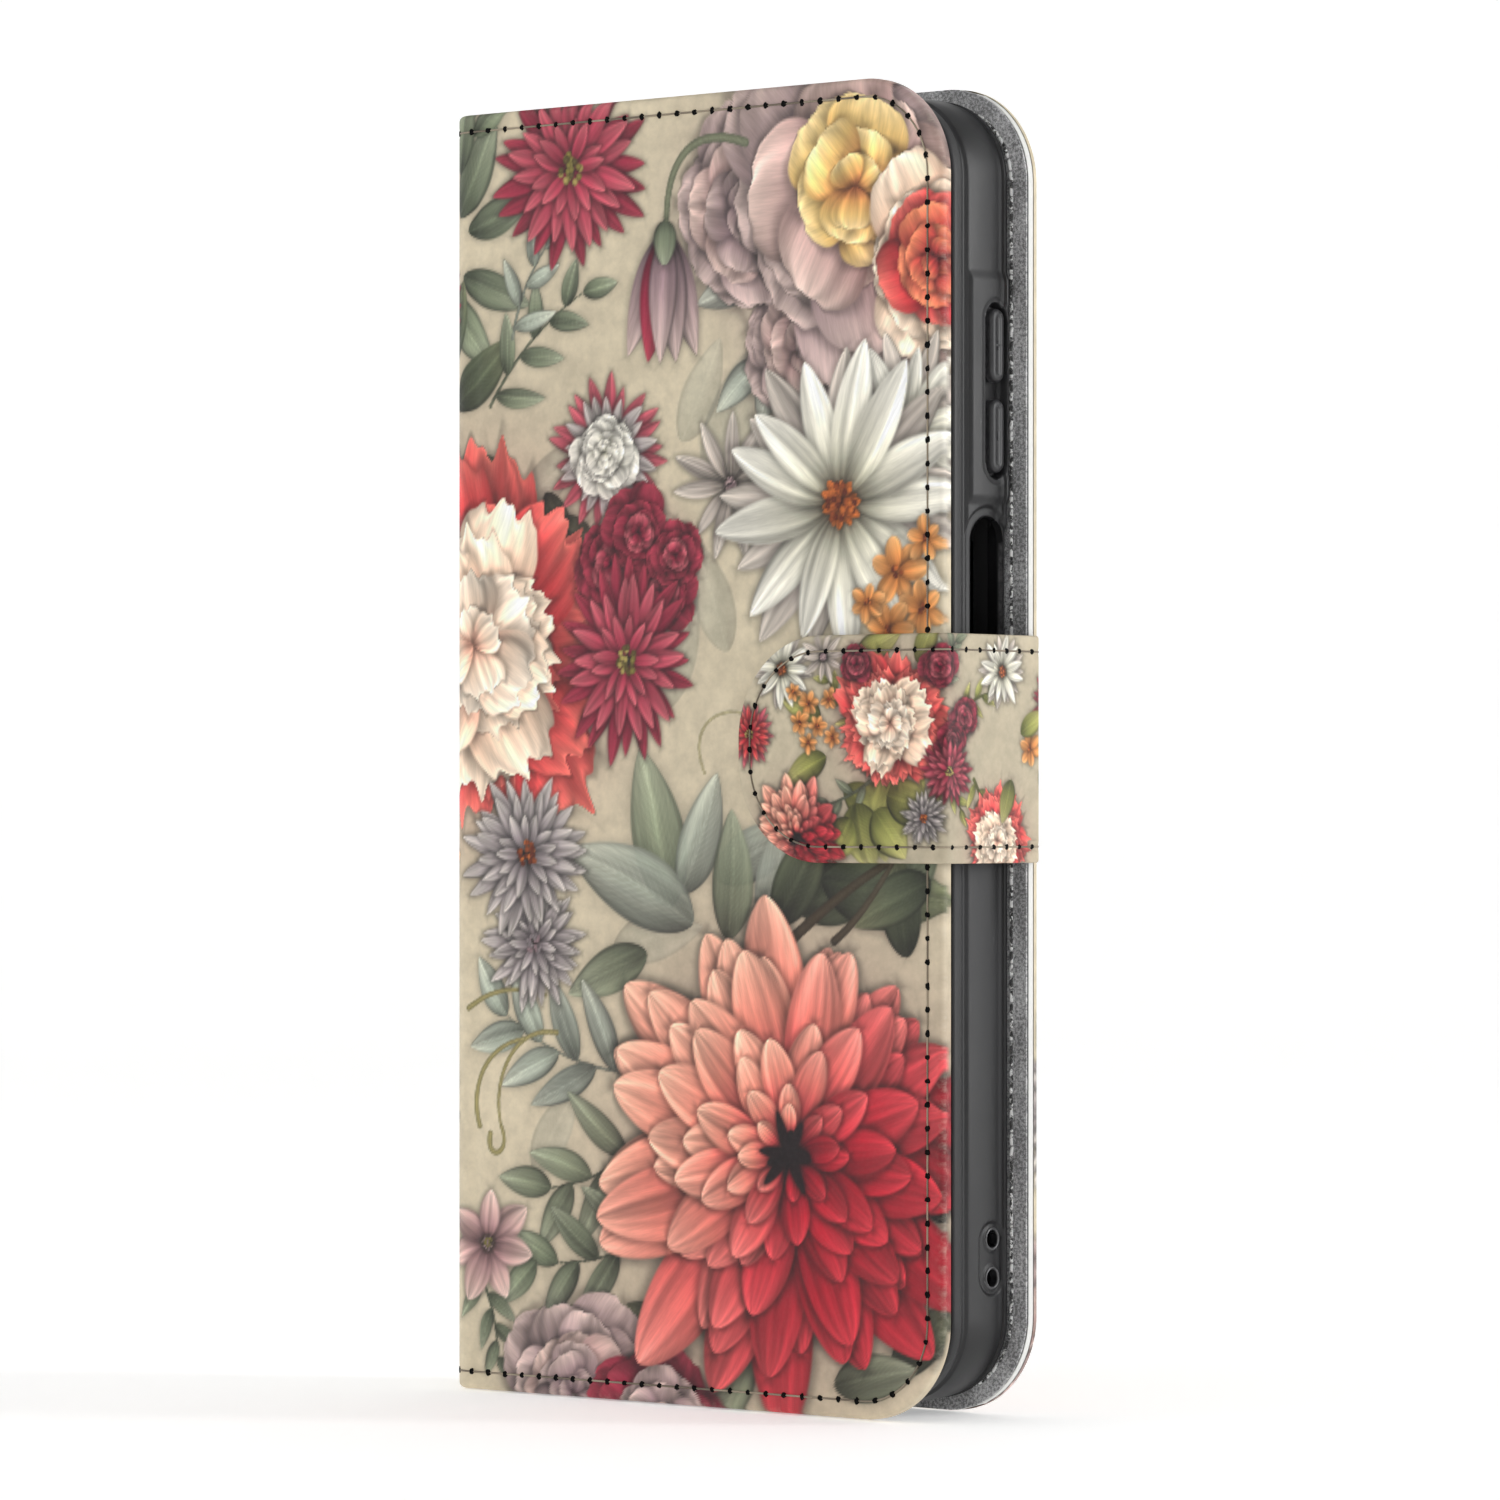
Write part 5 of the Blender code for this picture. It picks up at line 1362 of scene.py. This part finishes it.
# Each feature: the wall's outward direction, its shape, its depth or None if it goes through, and
# how softly its edge rounds over.
KEY_Y = BACK_Y - 2.9 * MM
SIDE, FOOT, HEAD = (1, 0), (0, -1), (0, 1)
FEATURES = (
    (SIDE, slot_shape(2, KEY_Y - 0.1 * MM, 5.6 * MM, 121.6 * MM, 145.8 * MM), 0.16 * MM, PRESSED),
    (SIDE, slot_shape(2, KEY_Y, 4.2 * MM, 122.3 * MM, 145.1 * MM), 1.54 * MM, 0.26 * MM),
    (SIDE, slot_shape(2, BACK_Y - 4.3 * MM, 8.6 * MM, 91.4 * MM, 118.6 * MM), 0.45 * MM, PRESSED),
    (SIDE, slot_shape(2, BACK_Y - 4.0 * MM, 6.4 * MM, 93.0 * MM, 117.3 * MM), None, CUT),
    (SIDE, slot_shape(2, BACK_Y - 3.5 * MM, 5.0 * MM, 15.9 * MM, 25.4 * MM), 0.4 * MM, PRESSED),
    (SIDE, slot_shape(2, EYELET_Y, EYELET_WIDTH, 16.95 * MM, 19.25 * MM), None, PRESSED),
    (SIDE, slot_shape(2, EYELET_Y, EYELET_WIDTH, 22.05 * MM, 24.35 * MM), None, PRESSED),
    *((wall, slot_shape(0, PHONE_Y, width * MM, PHONE_X + low * MM, PHONE_X + high * MM), depth, soft)
      for wall, width, low, high, depth, soft in (
          (FOOT, 8.4, -7.4, 7.4, 0.35 * MM, PRESSED), (FOOT, 7.0, -6.5, 6.5, None, CUT),
          (FOOT, 4.8, 12, 28, None, CUT), (FOOT, 8.2, -24.1, -15.9, 0.35 * MM, PRESSED),
          (FOOT, 7.0, -23.5, -16.5, None, CUT), (FOOT, 2.2, -13.1, -10.9, None, CUT),
          (HEAD, 2.2, -13.1, -10.9, None, CUT))),
)


def fine_run(low, high, ranges, fine, coarse):
    """Stations from low to high, close together within the ranges."""
    marks, at = [], low
    while at < high - 1e-9:
        marks.append(at)
        inside = any(a - coarse < at < b for a, b in ranges)
        step = fine if inside else coarse
        at += step
    return marks


def shell_stations():
    """Points round the shell's outline: corner centre or straight place, and outward direction."""
    r = SHELL_CORNER
    x0, x1 = SHELL_LOW.x + r, SHELL_HIGH.x - r
    z0, z1 = SHELL_LOW.z + r, SHELL_HIGH.z - r
    fine = 0.16 * MM
    ranges = {SIDE: [(14.5 * MM, 27 * MM), (90 * MM, 151 * MM)],
              FOOT: [(PHONE_X - 25.5 * MM, PHONE_X + 29 * MM)],
              HEAD: [(PHONE_X - 14 * MM, PHONE_X - 10 * MM)], (-1, 0): []}
    points = []

    def corner(cx, cz, start):
        for i in range(1, 20):
            a = math.radians(start + 90 * i / 20)
            points.append((cx, cz, math.cos(a), math.sin(a)))

    for z in fine_run(z0, z1, ranges[SIDE], fine, 2 * MM) + [z1]:
        points.append((x1, z, 1, 0))
    corner(x1, z1, 0)
    for x in fine_run(-x1, -x0, [(-b, -a) for a, b in ranges[HEAD]], fine, 2 * MM) + [-x0]:
        points.append((-x, z1, 0, 1))
    corner(x0, z1, 90)
    for z in fine_run(-z1, -z0, [], fine, 3 * MM) + [-z0]:
        points.append((x0, -z, -1, 0))
    corner(x0, z0, 180)
    for x in fine_run(x0, x1, ranges[FOOT], fine, 2 * MM) + [x1]:
        points.append((x, z0, 0, -1))
    corner(x1, z0, 270)
    return np.array(points)


def shell_profile():
    """The wall's section from its back edge, over the rim and down to the tray's floor."""
    fine = ROW_STEP * MM
    corners = [(1.3, 0.0), (0.45, 0.25), (0.1, 0.8), (0.0, 1.8)]
    line = [(i * MM, BACK_Y - h * MM) for i, h in corners]
    rim = [(0.0, 3.3), (0.15, 2.9), (0.5, 2.5), (0.5, 2.1), (0.3, 1.8), (0.3, 0.4), (0.6, 0.0)]
    line += [(i * MM, RIM_Y + h * MM) for i, h in rim]
    lip = [(-0.3, 0.0), (0.0, 0.3), (-0.2, 0.7)]
    line += [(WALL + LIP + i * MM, RIM_Y + h * MM) for i, h in lip]
    line += [(WALL, RIM_Y + 1.0 * MM)]
    line += [(WALL + i * MM, FLOOR_Y - h * MM) for i, h in ((0.0, 1.2), (0.35, 0.35), (1.2, 0.0))]
    line = np.array(line)
    for _ in range(3):  # corners cut off to round the section
        a, b = line[:-1], line[1:]
        length = np.hypot(*(b - a).T)[:, None]
        cut = np.minimum(0.25, 0.22 * MM / np.maximum(length, 1e-9))
        line = np.concatenate([[line[0]], np.stack(
            [a + (b - a) * cut, b - (b - a) * cut], 1).reshape(-1, 2), [line[-1]]])
    rows = [line[0]]
    for a, b in zip(line[:-1], line[1:]):
        count = max(int(math.ceil(math.dist(a, b) / fine)), 1)
        if math.dist(a, b) < 0.02 * MM:
            continue
        rows += [a + (b - a) * k / count for k in range(1, count + 1)]
    rows = np.array(rows)
    # The wall is slightly barrelled, fullest a little behind its middle.
    low, high = RIM_Y + 3.0 * MM, BACK_Y - 1.2 * MM
    t = np.clip((rows[:, 1] - low) / (high - low), 0, 1)
    on_wall = (rows[:, 0] < 0.3 * MM) & (rows[:, 1] > low) & (rows[:, 1] < high)
    rows[:, 0] += np.where(on_wall, 0.38 * MM * np.clip((0.62 - t) / 0.62, 0, 1) ** 2
                           + 0.30 * MM * np.clip((t - 0.62) / 0.38, 0, 1) ** 2, 0)
    return rows


def build_shell():
    around, profile = shell_stations(), shell_profile()
    inset, y = profile[:, 0], profile[:, 1]
    n, m = len(around), len(profile)
    cx, cz, nx, nz = (np.repeat(around[:, i][None, :], m, 0) for i in range(4))
    radius = np.repeat((SHELL_CORNER - inset)[:, None], n, 1)
    level = np.repeat(y[:, None], n, 1)
    rim_row = np.argmin(np.abs(y - RIM_Y) + (inset > 1 * MM))
    outer = np.repeat((np.arange(m) < rim_row)[:, None], n, 1)
    along = {0: cx, 2: cz}
    gone = np.zeros((m, n), bool)
    push = np.zeros((m, n))
    for direction, (axis, shape), depth, _ in FEATURES:
        on = (nx == direction[0]) & (nz == direction[1])
        if depth is None:
            along[axis], level = snap(along[axis], level, shape, 0.6 * ROW_STEP * MM, on)
    for direction, (axis, shape), depth, soft in FEATURES:
        on = (nx == direction[0]) & (nz == direction[1])
        sd = shape(along[axis], level)
        if depth is None:
            gone |= on & (sd < -1e-6)
            edge = smooth(1.5 * soft, 0, sd) ** 2 * 0.6 * soft
            if soft > 0.2 * MM:  # an eyelet stands up round the hole
                edge -= 0.16 * MM * np.exp(-(((sd - 0.42 * MM) / (0.2 * MM)) ** 2))
            push += np.where(on & outer, edge, 0)
        else:
            push = np.where(on & outer, np.maximum(push, depth * smooth(soft, -soft, sd)), push)
    # A pad stands up round the volume keys, with sloping ends.
    pad = smooth(118.6 * MM, 120.2 * MM, along[2]) * smooth(149.6 * MM, 147.8 * MM, along[2])
    pad *= smooth(RIM_Y + 2.9 * MM, RIM_Y + 3.7 * MM, level)
    push -= np.where((nx == 1) & outer, 0.42 * MM * pad, 0)
    # The foot spreads a little where it meets the lining.
    spread = smooth(BACK_Y - 2.2 * MM, BACK_Y - 0.2 * MM, level) * np.clip(nx, 0, 1) ** 2
    push -= np.where(outer, 0.45 * MM * spread, 0)
    radius = radius - push
    px = along[0] + radius * nx
    pz = along[2] + radius * nz
    vertices = np.stack([px, level, pz], -1).reshape(-1, 3)
    index = np.arange(m * n).reshape(m, n)
    nxt = np.roll(index, -1, 1)
    faces = np.stack([index[:-1], index[1:], nxt[1:], nxt[:-1]], -1).reshape(-1, 4)
    lost = gone.ravel()
    faces = faces[~lost[faces].any(1)]
    work = bmesh.new()
    made = [work.verts.new(v) for v in vertices]
    for face in faces.tolist():
        work.faces.new([made[i] for i in face])
    # Walls of the openings, from the outer face in to the tray's side.
    is_outer = outer.ravel()
    spots = {}
    for direction, (axis, shape), depth, _ in FEATURES:
        if depth is not None:
            continue
        toward = np.array([direction[0], 0, direction[1]], float)
        on = ((nx == direction[0]) & (nz == direction[1])).ravel()
        sd = shape(along[axis].ravel(), level.ravel())
        rim = on & (np.abs(sd) < 1e-6) & is_outer & ~lost
        face_at = SHELL_HIGH.x if direction == SIDE else (
            -SHELL_LOW.z if direction == FOOT else SHELL_HIGH.z)
        work.verts.index_update()
        edges = [e for e in work.edges if len(e.link_faces) == 1 and all(
            v.index < len(rim) and rim[v.index] for v in e.verts)]
        for e in edges:
            ends = []
            for v in e.verts:
                if v.index not in spots:
                    p = np.array(v.co)
                    chain = []
                    for deep in (0.3 * MM, 0.9 * MM, WALL + 0.02 * MM):
                        q = p.copy()
                        q += toward * (face_at - deep - p @ toward)
                        chain.append(work.verts.new(q))
                    spots[v.index] = chain
                ends.append([v] + spots[v.index])
            for k in range(3):
                a, b = ends
                work.faces.new((a[k], b[k], b[k + 1], a[k + 1]))
    loose = [v for v in work.verts if not v.link_faces]
    bmesh.ops.delete(work, geom=loose, context="VERTS")
    bmesh.ops.remove_doubles(work, verts=work.verts[:], dist=1e-7)
    # The tray's floor, with the camera opening through it.
    for row, face_y in ((0, BACK_Y), (m - 1, FLOOR_Y)):
        ring = [(float(px[row, k]), float(pz[row, k])) for k in range(n)]
        ring = [p for k, p in enumerate(ring) if math.dist(p, ring[k - 1]) > 1e-6]
        side = 0.25 * MM
        wide = round_path(*camera_outline(side), 14)
        flat = [Vector(p) for p in ring + wide]
        a, b = len(ring), len(wide)
        edges = [(i, (i + 1) % a) for i in range(a)] + [(a + i, a + (i + 1) % b) for i in range(b)]
        points, _, triangles, _, _, _ = delaunay_2d_cdt(flat, edges, [], 0, 1e-7)
        flat_spots = [work.verts.new((p.x, face_y, p.y)) for p in points]
        centre = ((SHELL_LOW.x + SHELL_HIGH.x) / 2, (SHELL_LOW.z + SHELL_HIGH.z) / 2)
        half = ((SHELL_HIGH.x - SHELL_LOW.x) / 2 - inset[row],
                (SHELL_HIGH.z - SHELL_LOW.z) / 2 - inset[row])
        for t in triangles:
            mx = sum(points[i].x for i in t) / 3
            mz = sum(points[i].y for i in t) / 3
            out = round_box(np.array(mx), np.array(mz), centre, half, SHELL_CORNER - inset[row])
            cut = round_box(np.array(mx), np.array(mz), *camera_outline(side))
            if out < 0 < cut:
                work.faces.new([flat_spots[i] for i in t])
    rings = []
    for grow, y_at in ((0.25, FLOOR_Y), (0.08, FLOOR_Y + 0.06 * MM), (0.0, FLOOR_Y + 0.25 * MM),
                       (0.0, BACK_Y - 0.25 * MM), (0.08, BACK_Y - 0.06 * MM), (0.25, BACK_Y)):
        path = round_path(*camera_outline(grow * MM), 14)
        rings.append([work.verts.new((p[0], y_at, p[1])) for p in path])
    join_rings(work, rings)
    bmesh.ops.remove_doubles(work, verts=work.verts[:], dist=2e-6)
    return finish_mesh(work, "moulded_shell", 50.0)


shell = dress(build_shell(), RUBBER, body="back", replaced=("inner_shell",))


def eyelet_ring(name, y, z, radius, thick):
    """A moulded ring that stands up round a wrist-strap hole, sunk half way into the wall."""
    at = np.array([v.co for v in shell.data.vertices])
    around = np.hypot(at[:, 1] - y, at[:, 2] - z) < radius + 2 * thick
    wall = at[around & (at[:, 0] > 0), 0].max() - 0.45 * thick
    turn = np.linspace(0, 2 * math.pi, 72, endpoint=False)
    roll = np.linspace(0, 2 * math.pi, 16, endpoint=False)
    reach = radius + thick * np.cos(roll)[None, :] * (1 + 0.06 * np.cos(3 * turn))[:, None]
    points = np.stack([np.broadcast_to(wall + thick * np.sin(roll)[None, :], reach.shape),
                       y + reach * np.cos(turn)[:, None], z + reach * np.sin(turn)[:, None]], -1)
    index = np.arange(reach.size).reshape(reach.shape)
    beside = np.roll(index, -1, 1)
    faces = np.stack([index, beside, np.roll(beside, -1, 0), np.roll(index, -1, 0)], -1)
    ring = mesh_object(name, points.reshape(-1, 3), faces.reshape(-1, 4).tolist(), 180)
    # The ring's paler rubber is a painted highlight.
    return dress(ring, RING_RUBBER_HIGHLIT, body="back")


RING_RADIUS, RING_THICK = 1.33 * MM, 0.2 * MM
for name, z in (("eyelet_ring_lower", 18.1 * MM), ("eyelet_ring_upper", 23.2 * MM)):
    eyelet_ring(name, EYELET_Y, z, RING_RADIUS, RING_THICK)


# ---------------------------------------------------------------- keys and pockets

def slab(work, centre, half, radius, levels, place, steps=12):
    """A rounded plate between two capped ends. levels are its insets and depths."""
    rings = []
    for inset, depth in levels:
        path = round_path(centre, (half[0] - inset, half[1] - inset),
                          max(radius - inset, 0.05 * MM), steps)
        a, b = np.array(path).T
        rings.append([work.verts.new(p) for p in place(a, b, np.full_like(a, depth))])
    join_rings(work, rings)
    work.faces.new(rings[0][::-1])
    work.faces.new(rings[-1])


def side_place(y, z, height):
    return np.stack([WALL_X + height, y, z], -1)


for name in ("volume_up", "volume_down"):
    low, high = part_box(name + "_key")
    middle = ((low.y + high.y) / 2, (low.z + high.z) / 2)
    half = ((high.y - low.y) / 2, (high.z - low.z) / 2)
    top = high.x - WALL_X
    work = bmesh.new()
    # The cap stops short of the slot's floor, so that it can be pressed in.
    rise = [(0.0, low.x - WALL_X + 0.53 * MM), (0.0, top - 0.55 * MM), (0.05 * MM, top - 0.33 * MM),
            (0.17 * MM, top - 0.16 * MM), (0.36 * MM, top - 0.05 * MM), (0.6 * MM, top),
            (0.85 * MM, top + 0.01 * MM), (1.0 * MM, top - 0.04 * MM), (1.12 * MM, top - 0.09 * MM)]
    slab(work, middle, half, half[0], rise, side_place)
    bars = [(0.13 * MM, 0.62 * MM)] if name == "volume_down" else [
        (0.13 * MM, 0.62 * MM), (0.62 * MM, 0.13 * MM)]
    for bar in bars:
        slab(work, middle, bar, 0.12 * MM, [(0, top - 0.12 * MM), (0, top - 0.02 * MM),
                                            (0.05 * MM, top + 0.03 * MM)], side_place, 4)
    dress(finish_mesh(work, name + "_cap"), KEY_RUBBER, body=name,
          replaced=(name + "_key",))


POCKET_CORNER = 2.5 * MM
POCKET_SEAM = 1.6 * MM  # from a pocket's edge to its seam
SEAM_TURN = 1 * MM

# Each pocket and the distance from its edge to the line where its hem ends.
for name, hem in (("cash_pocket", 2.6 * MM), ("card_pocket_top", 3.2 * MM),
                  ("card_pocket_middle", 3.2 * MM), ("card_pocket_bottom", 3.2 * MM)):
    low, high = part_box(name)
    middle = ((low.x + high.x) / 2, (low.z + high.z) / 2)
    half = ((high.x - low.x) / 2, (high.z - low.z) / 2)
    thick = high.y - low.y

    def pocket_place(x, z, depth, face=high.y):
        return np.stack([x, face - depth, z], -1)

    work = bmesh.new()
    turn = [(thick * 0.42 * (1 - math.sin(a)), thick * 0.42 * (1 - math.cos(a)))
            for a in np.radians([90, 67, 45, 22, 0])]
    levels = [(i, thick - d) for i, d in turn] + [(i, d) for i, d in turn[::-1]]
    levels += [(hem, 0.0), (hem + 0.3 * MM, 0.07 * MM), (hem + 0.6 * MM, 0.0)]
    slab(work, middle, half, POCKET_CORNER, levels, pocket_place)
    piece = finish_mesh(work, name + "_leather", 60.0)
    at = np.array([v.co for v in piece.data.vertices])
    inside = -round_box(at[:, 0], at[:, 2], middle, half, POCKET_CORNER)
    keep(piece, "edge", np.exp(-np.maximum(inside, 0) / (0.35 * MM)))
    dress(piece, POCKET, body="front_cover", replaced=(name,))

# The card pocket made last is the lowest, and a seam round its closed sides holds it.
x0, x1, z0, z1 = low.x + POCKET_SEAM, high.x - POCKET_SEAM, low.z + POCKET_SEAM, high.z - 1.0 * MM
line = [(x0, z1), (x0, z0 + SEAM_TURN), (x0 + SEAM_TURN, z0), (x1 - SEAM_TURN, z0),
        (x1, z0 + SEAM_TURN), (x1, z1)]
stitches, _ = build_stitches("pocket_seam", [line], pocket_place, 0.8, 0.16 * MM, 0.02 * MM, 1,
                             pitch=2.6 * MM, hole=0)
dress(stitches, THREAD_BLACK, body="front_cover", replaced=("pocket_stitching",))


# ---------------------------------------------------------------- kept CAD nodes

for names, material in (
    (("front_board", "spine_board", "strap_root"), board("inner_board", (168, 158, 138), False)),
    (("front_magnet", "strap_tab_magnet"), metal("magnet_plating")),
    (("shell_adhesive",), glue("adhesive_film")),
):
    for name in names:
        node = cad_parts[name]
        node.data.materials.clear()
        node.data.materials.append(material)


# ---------------------------------------------------------------- camera, light and floor

# The photograph's view: level, from the front right and with a long lens.
VIEW_FROM = (0.5417, -0.6540, 0.080)
VIEW_TURN = 39.5  # degrees
LENS, SENSOR = 152.5, 36.0  # both in mm
VIEW_SHIFT = 0.0353  # the photograph's horizon lies a little below its middle

camera_data = bpy.data.cameras.new("camera")
camera = bpy.data.objects.new("camera", camera_data)
bpy.context.scene.collection.objects.link(camera)
camera_data.lens = LENS
camera_data.sensor_width = SENSOR
camera_data.clip_start = 0.01
camera_data.clip_end = 20.0
camera_data.shift_y = VIEW_SHIFT
camera.location = VIEW_FROM
camera.rotation_euler = (math.radians(90), 0, math.radians(VIEW_TURN))
bpy.context.scene.camera = camera

FLOOR_FLAT = 1.4  # the flat part's radius
BACKDROP_BEND = 0.9  # the radius of its curve up into the backdrop
BACKDROP_HIGH = 2.0
FLOOR_DROP = 0.0002  # the floor lies this far under the case, clear of its faces


def floor_bowl():
    """A round studio floor whose rim curves up into a backdrop on all sides."""
    rings = [(0.0, 0.0), (0.3, 0.0), (0.8, 0.0), (FLOOR_FLAT, 0.0)]
    rings += [(FLOOR_FLAT + BACKDROP_BEND * math.sin(a), BACKDROP_BEND * (1 - math.cos(a)))
              for a in map(math.radians, range(6, 91, 6))]
    rings += [(FLOOR_FLAT + BACKDROP_BEND, height) for height in (1.4, BACKDROP_HIGH)]
    count = 96
    vertices, faces = [(0, 0, 0)], []
    for r, h in rings[1:]:
        vertices += [(r * math.cos(2 * math.pi * k / count), r * math.sin(2 * math.pi * k / count),
                      h) for k in range(count)]
    for k in range(count):
        faces.append([0, 1 + k, 1 + (k + 1) % count])
    for j in range(len(rings) - 2):
        for k in range(count):
            a, b = 1 + j * count + k, 1 + j * count + (k + 1) % count
            faces.append([a, a + count, b + count, b])
    bowl = mesh_object("studio_floor", vertices, faces, 0)
    f = Finish("studio_paper", False)
    tone = f.range(f.noise(0.004, 2.0), 0.3, 0.7, 0.985, 1.0)
    colour = f.mix(1.0, (0.93, 0.93, 0.925), f.grey(tone), "MULTIPLY")
    f.shader.inputs["Emission Color"].default_value = (1, 1, 1, 1)
    bowl.data.materials.append(f.done(colour, f.range(f.noise(0.4, 3.0), 0.3, 0.7, 0.85, 0.95),
                                      Emission_Strength=0.36, Specular_IOR_Level=0.1))
    bowl.location.z = -FLOOR_DROP


floor_bowl()


def soft_light(name, place, aim, size, energy, tall=None):
    data = bpy.data.lights.new(name, "AREA")
    data.shape = "RECTANGLE"
    data.size, data.size_y = size, tall or size
    data.energy = energy
    lamp = bpy.data.objects.new(name, data)
    bpy.context.scene.collection.objects.link(lamp)
    lamp.location = place
    lamp.visible_camera = False
    lamp.rotation_euler = (Vector(aim) - Vector(place)).to_track_quat("-Z", "Y").to_euler()


soft_light("key_light", (-0.9, -1.3, 0.9), (0, 0, 0.09), 0.9, 3.2)
soft_light("top_light", (0.1, 0.2, 1.7), (0, 0, 0.09), 1.0, 3.0)
soft_light("strip_light", (1.0, 0.60, 0.34), (0.04, 0, 0.10), 0.16, 5.0, 0.7)

world = bpy.data.worlds.new("studio")
world.use_nodes = True
world.node_tree.nodes["Background"].inputs["Color"].default_value = (1, 1, 1, 1)
world.node_tree.nodes["Background"].inputs["Strength"].default_value = 0.17
bpy.context.scene.world = world
bpy.context.scene.view_settings.view_transform = "Standard"
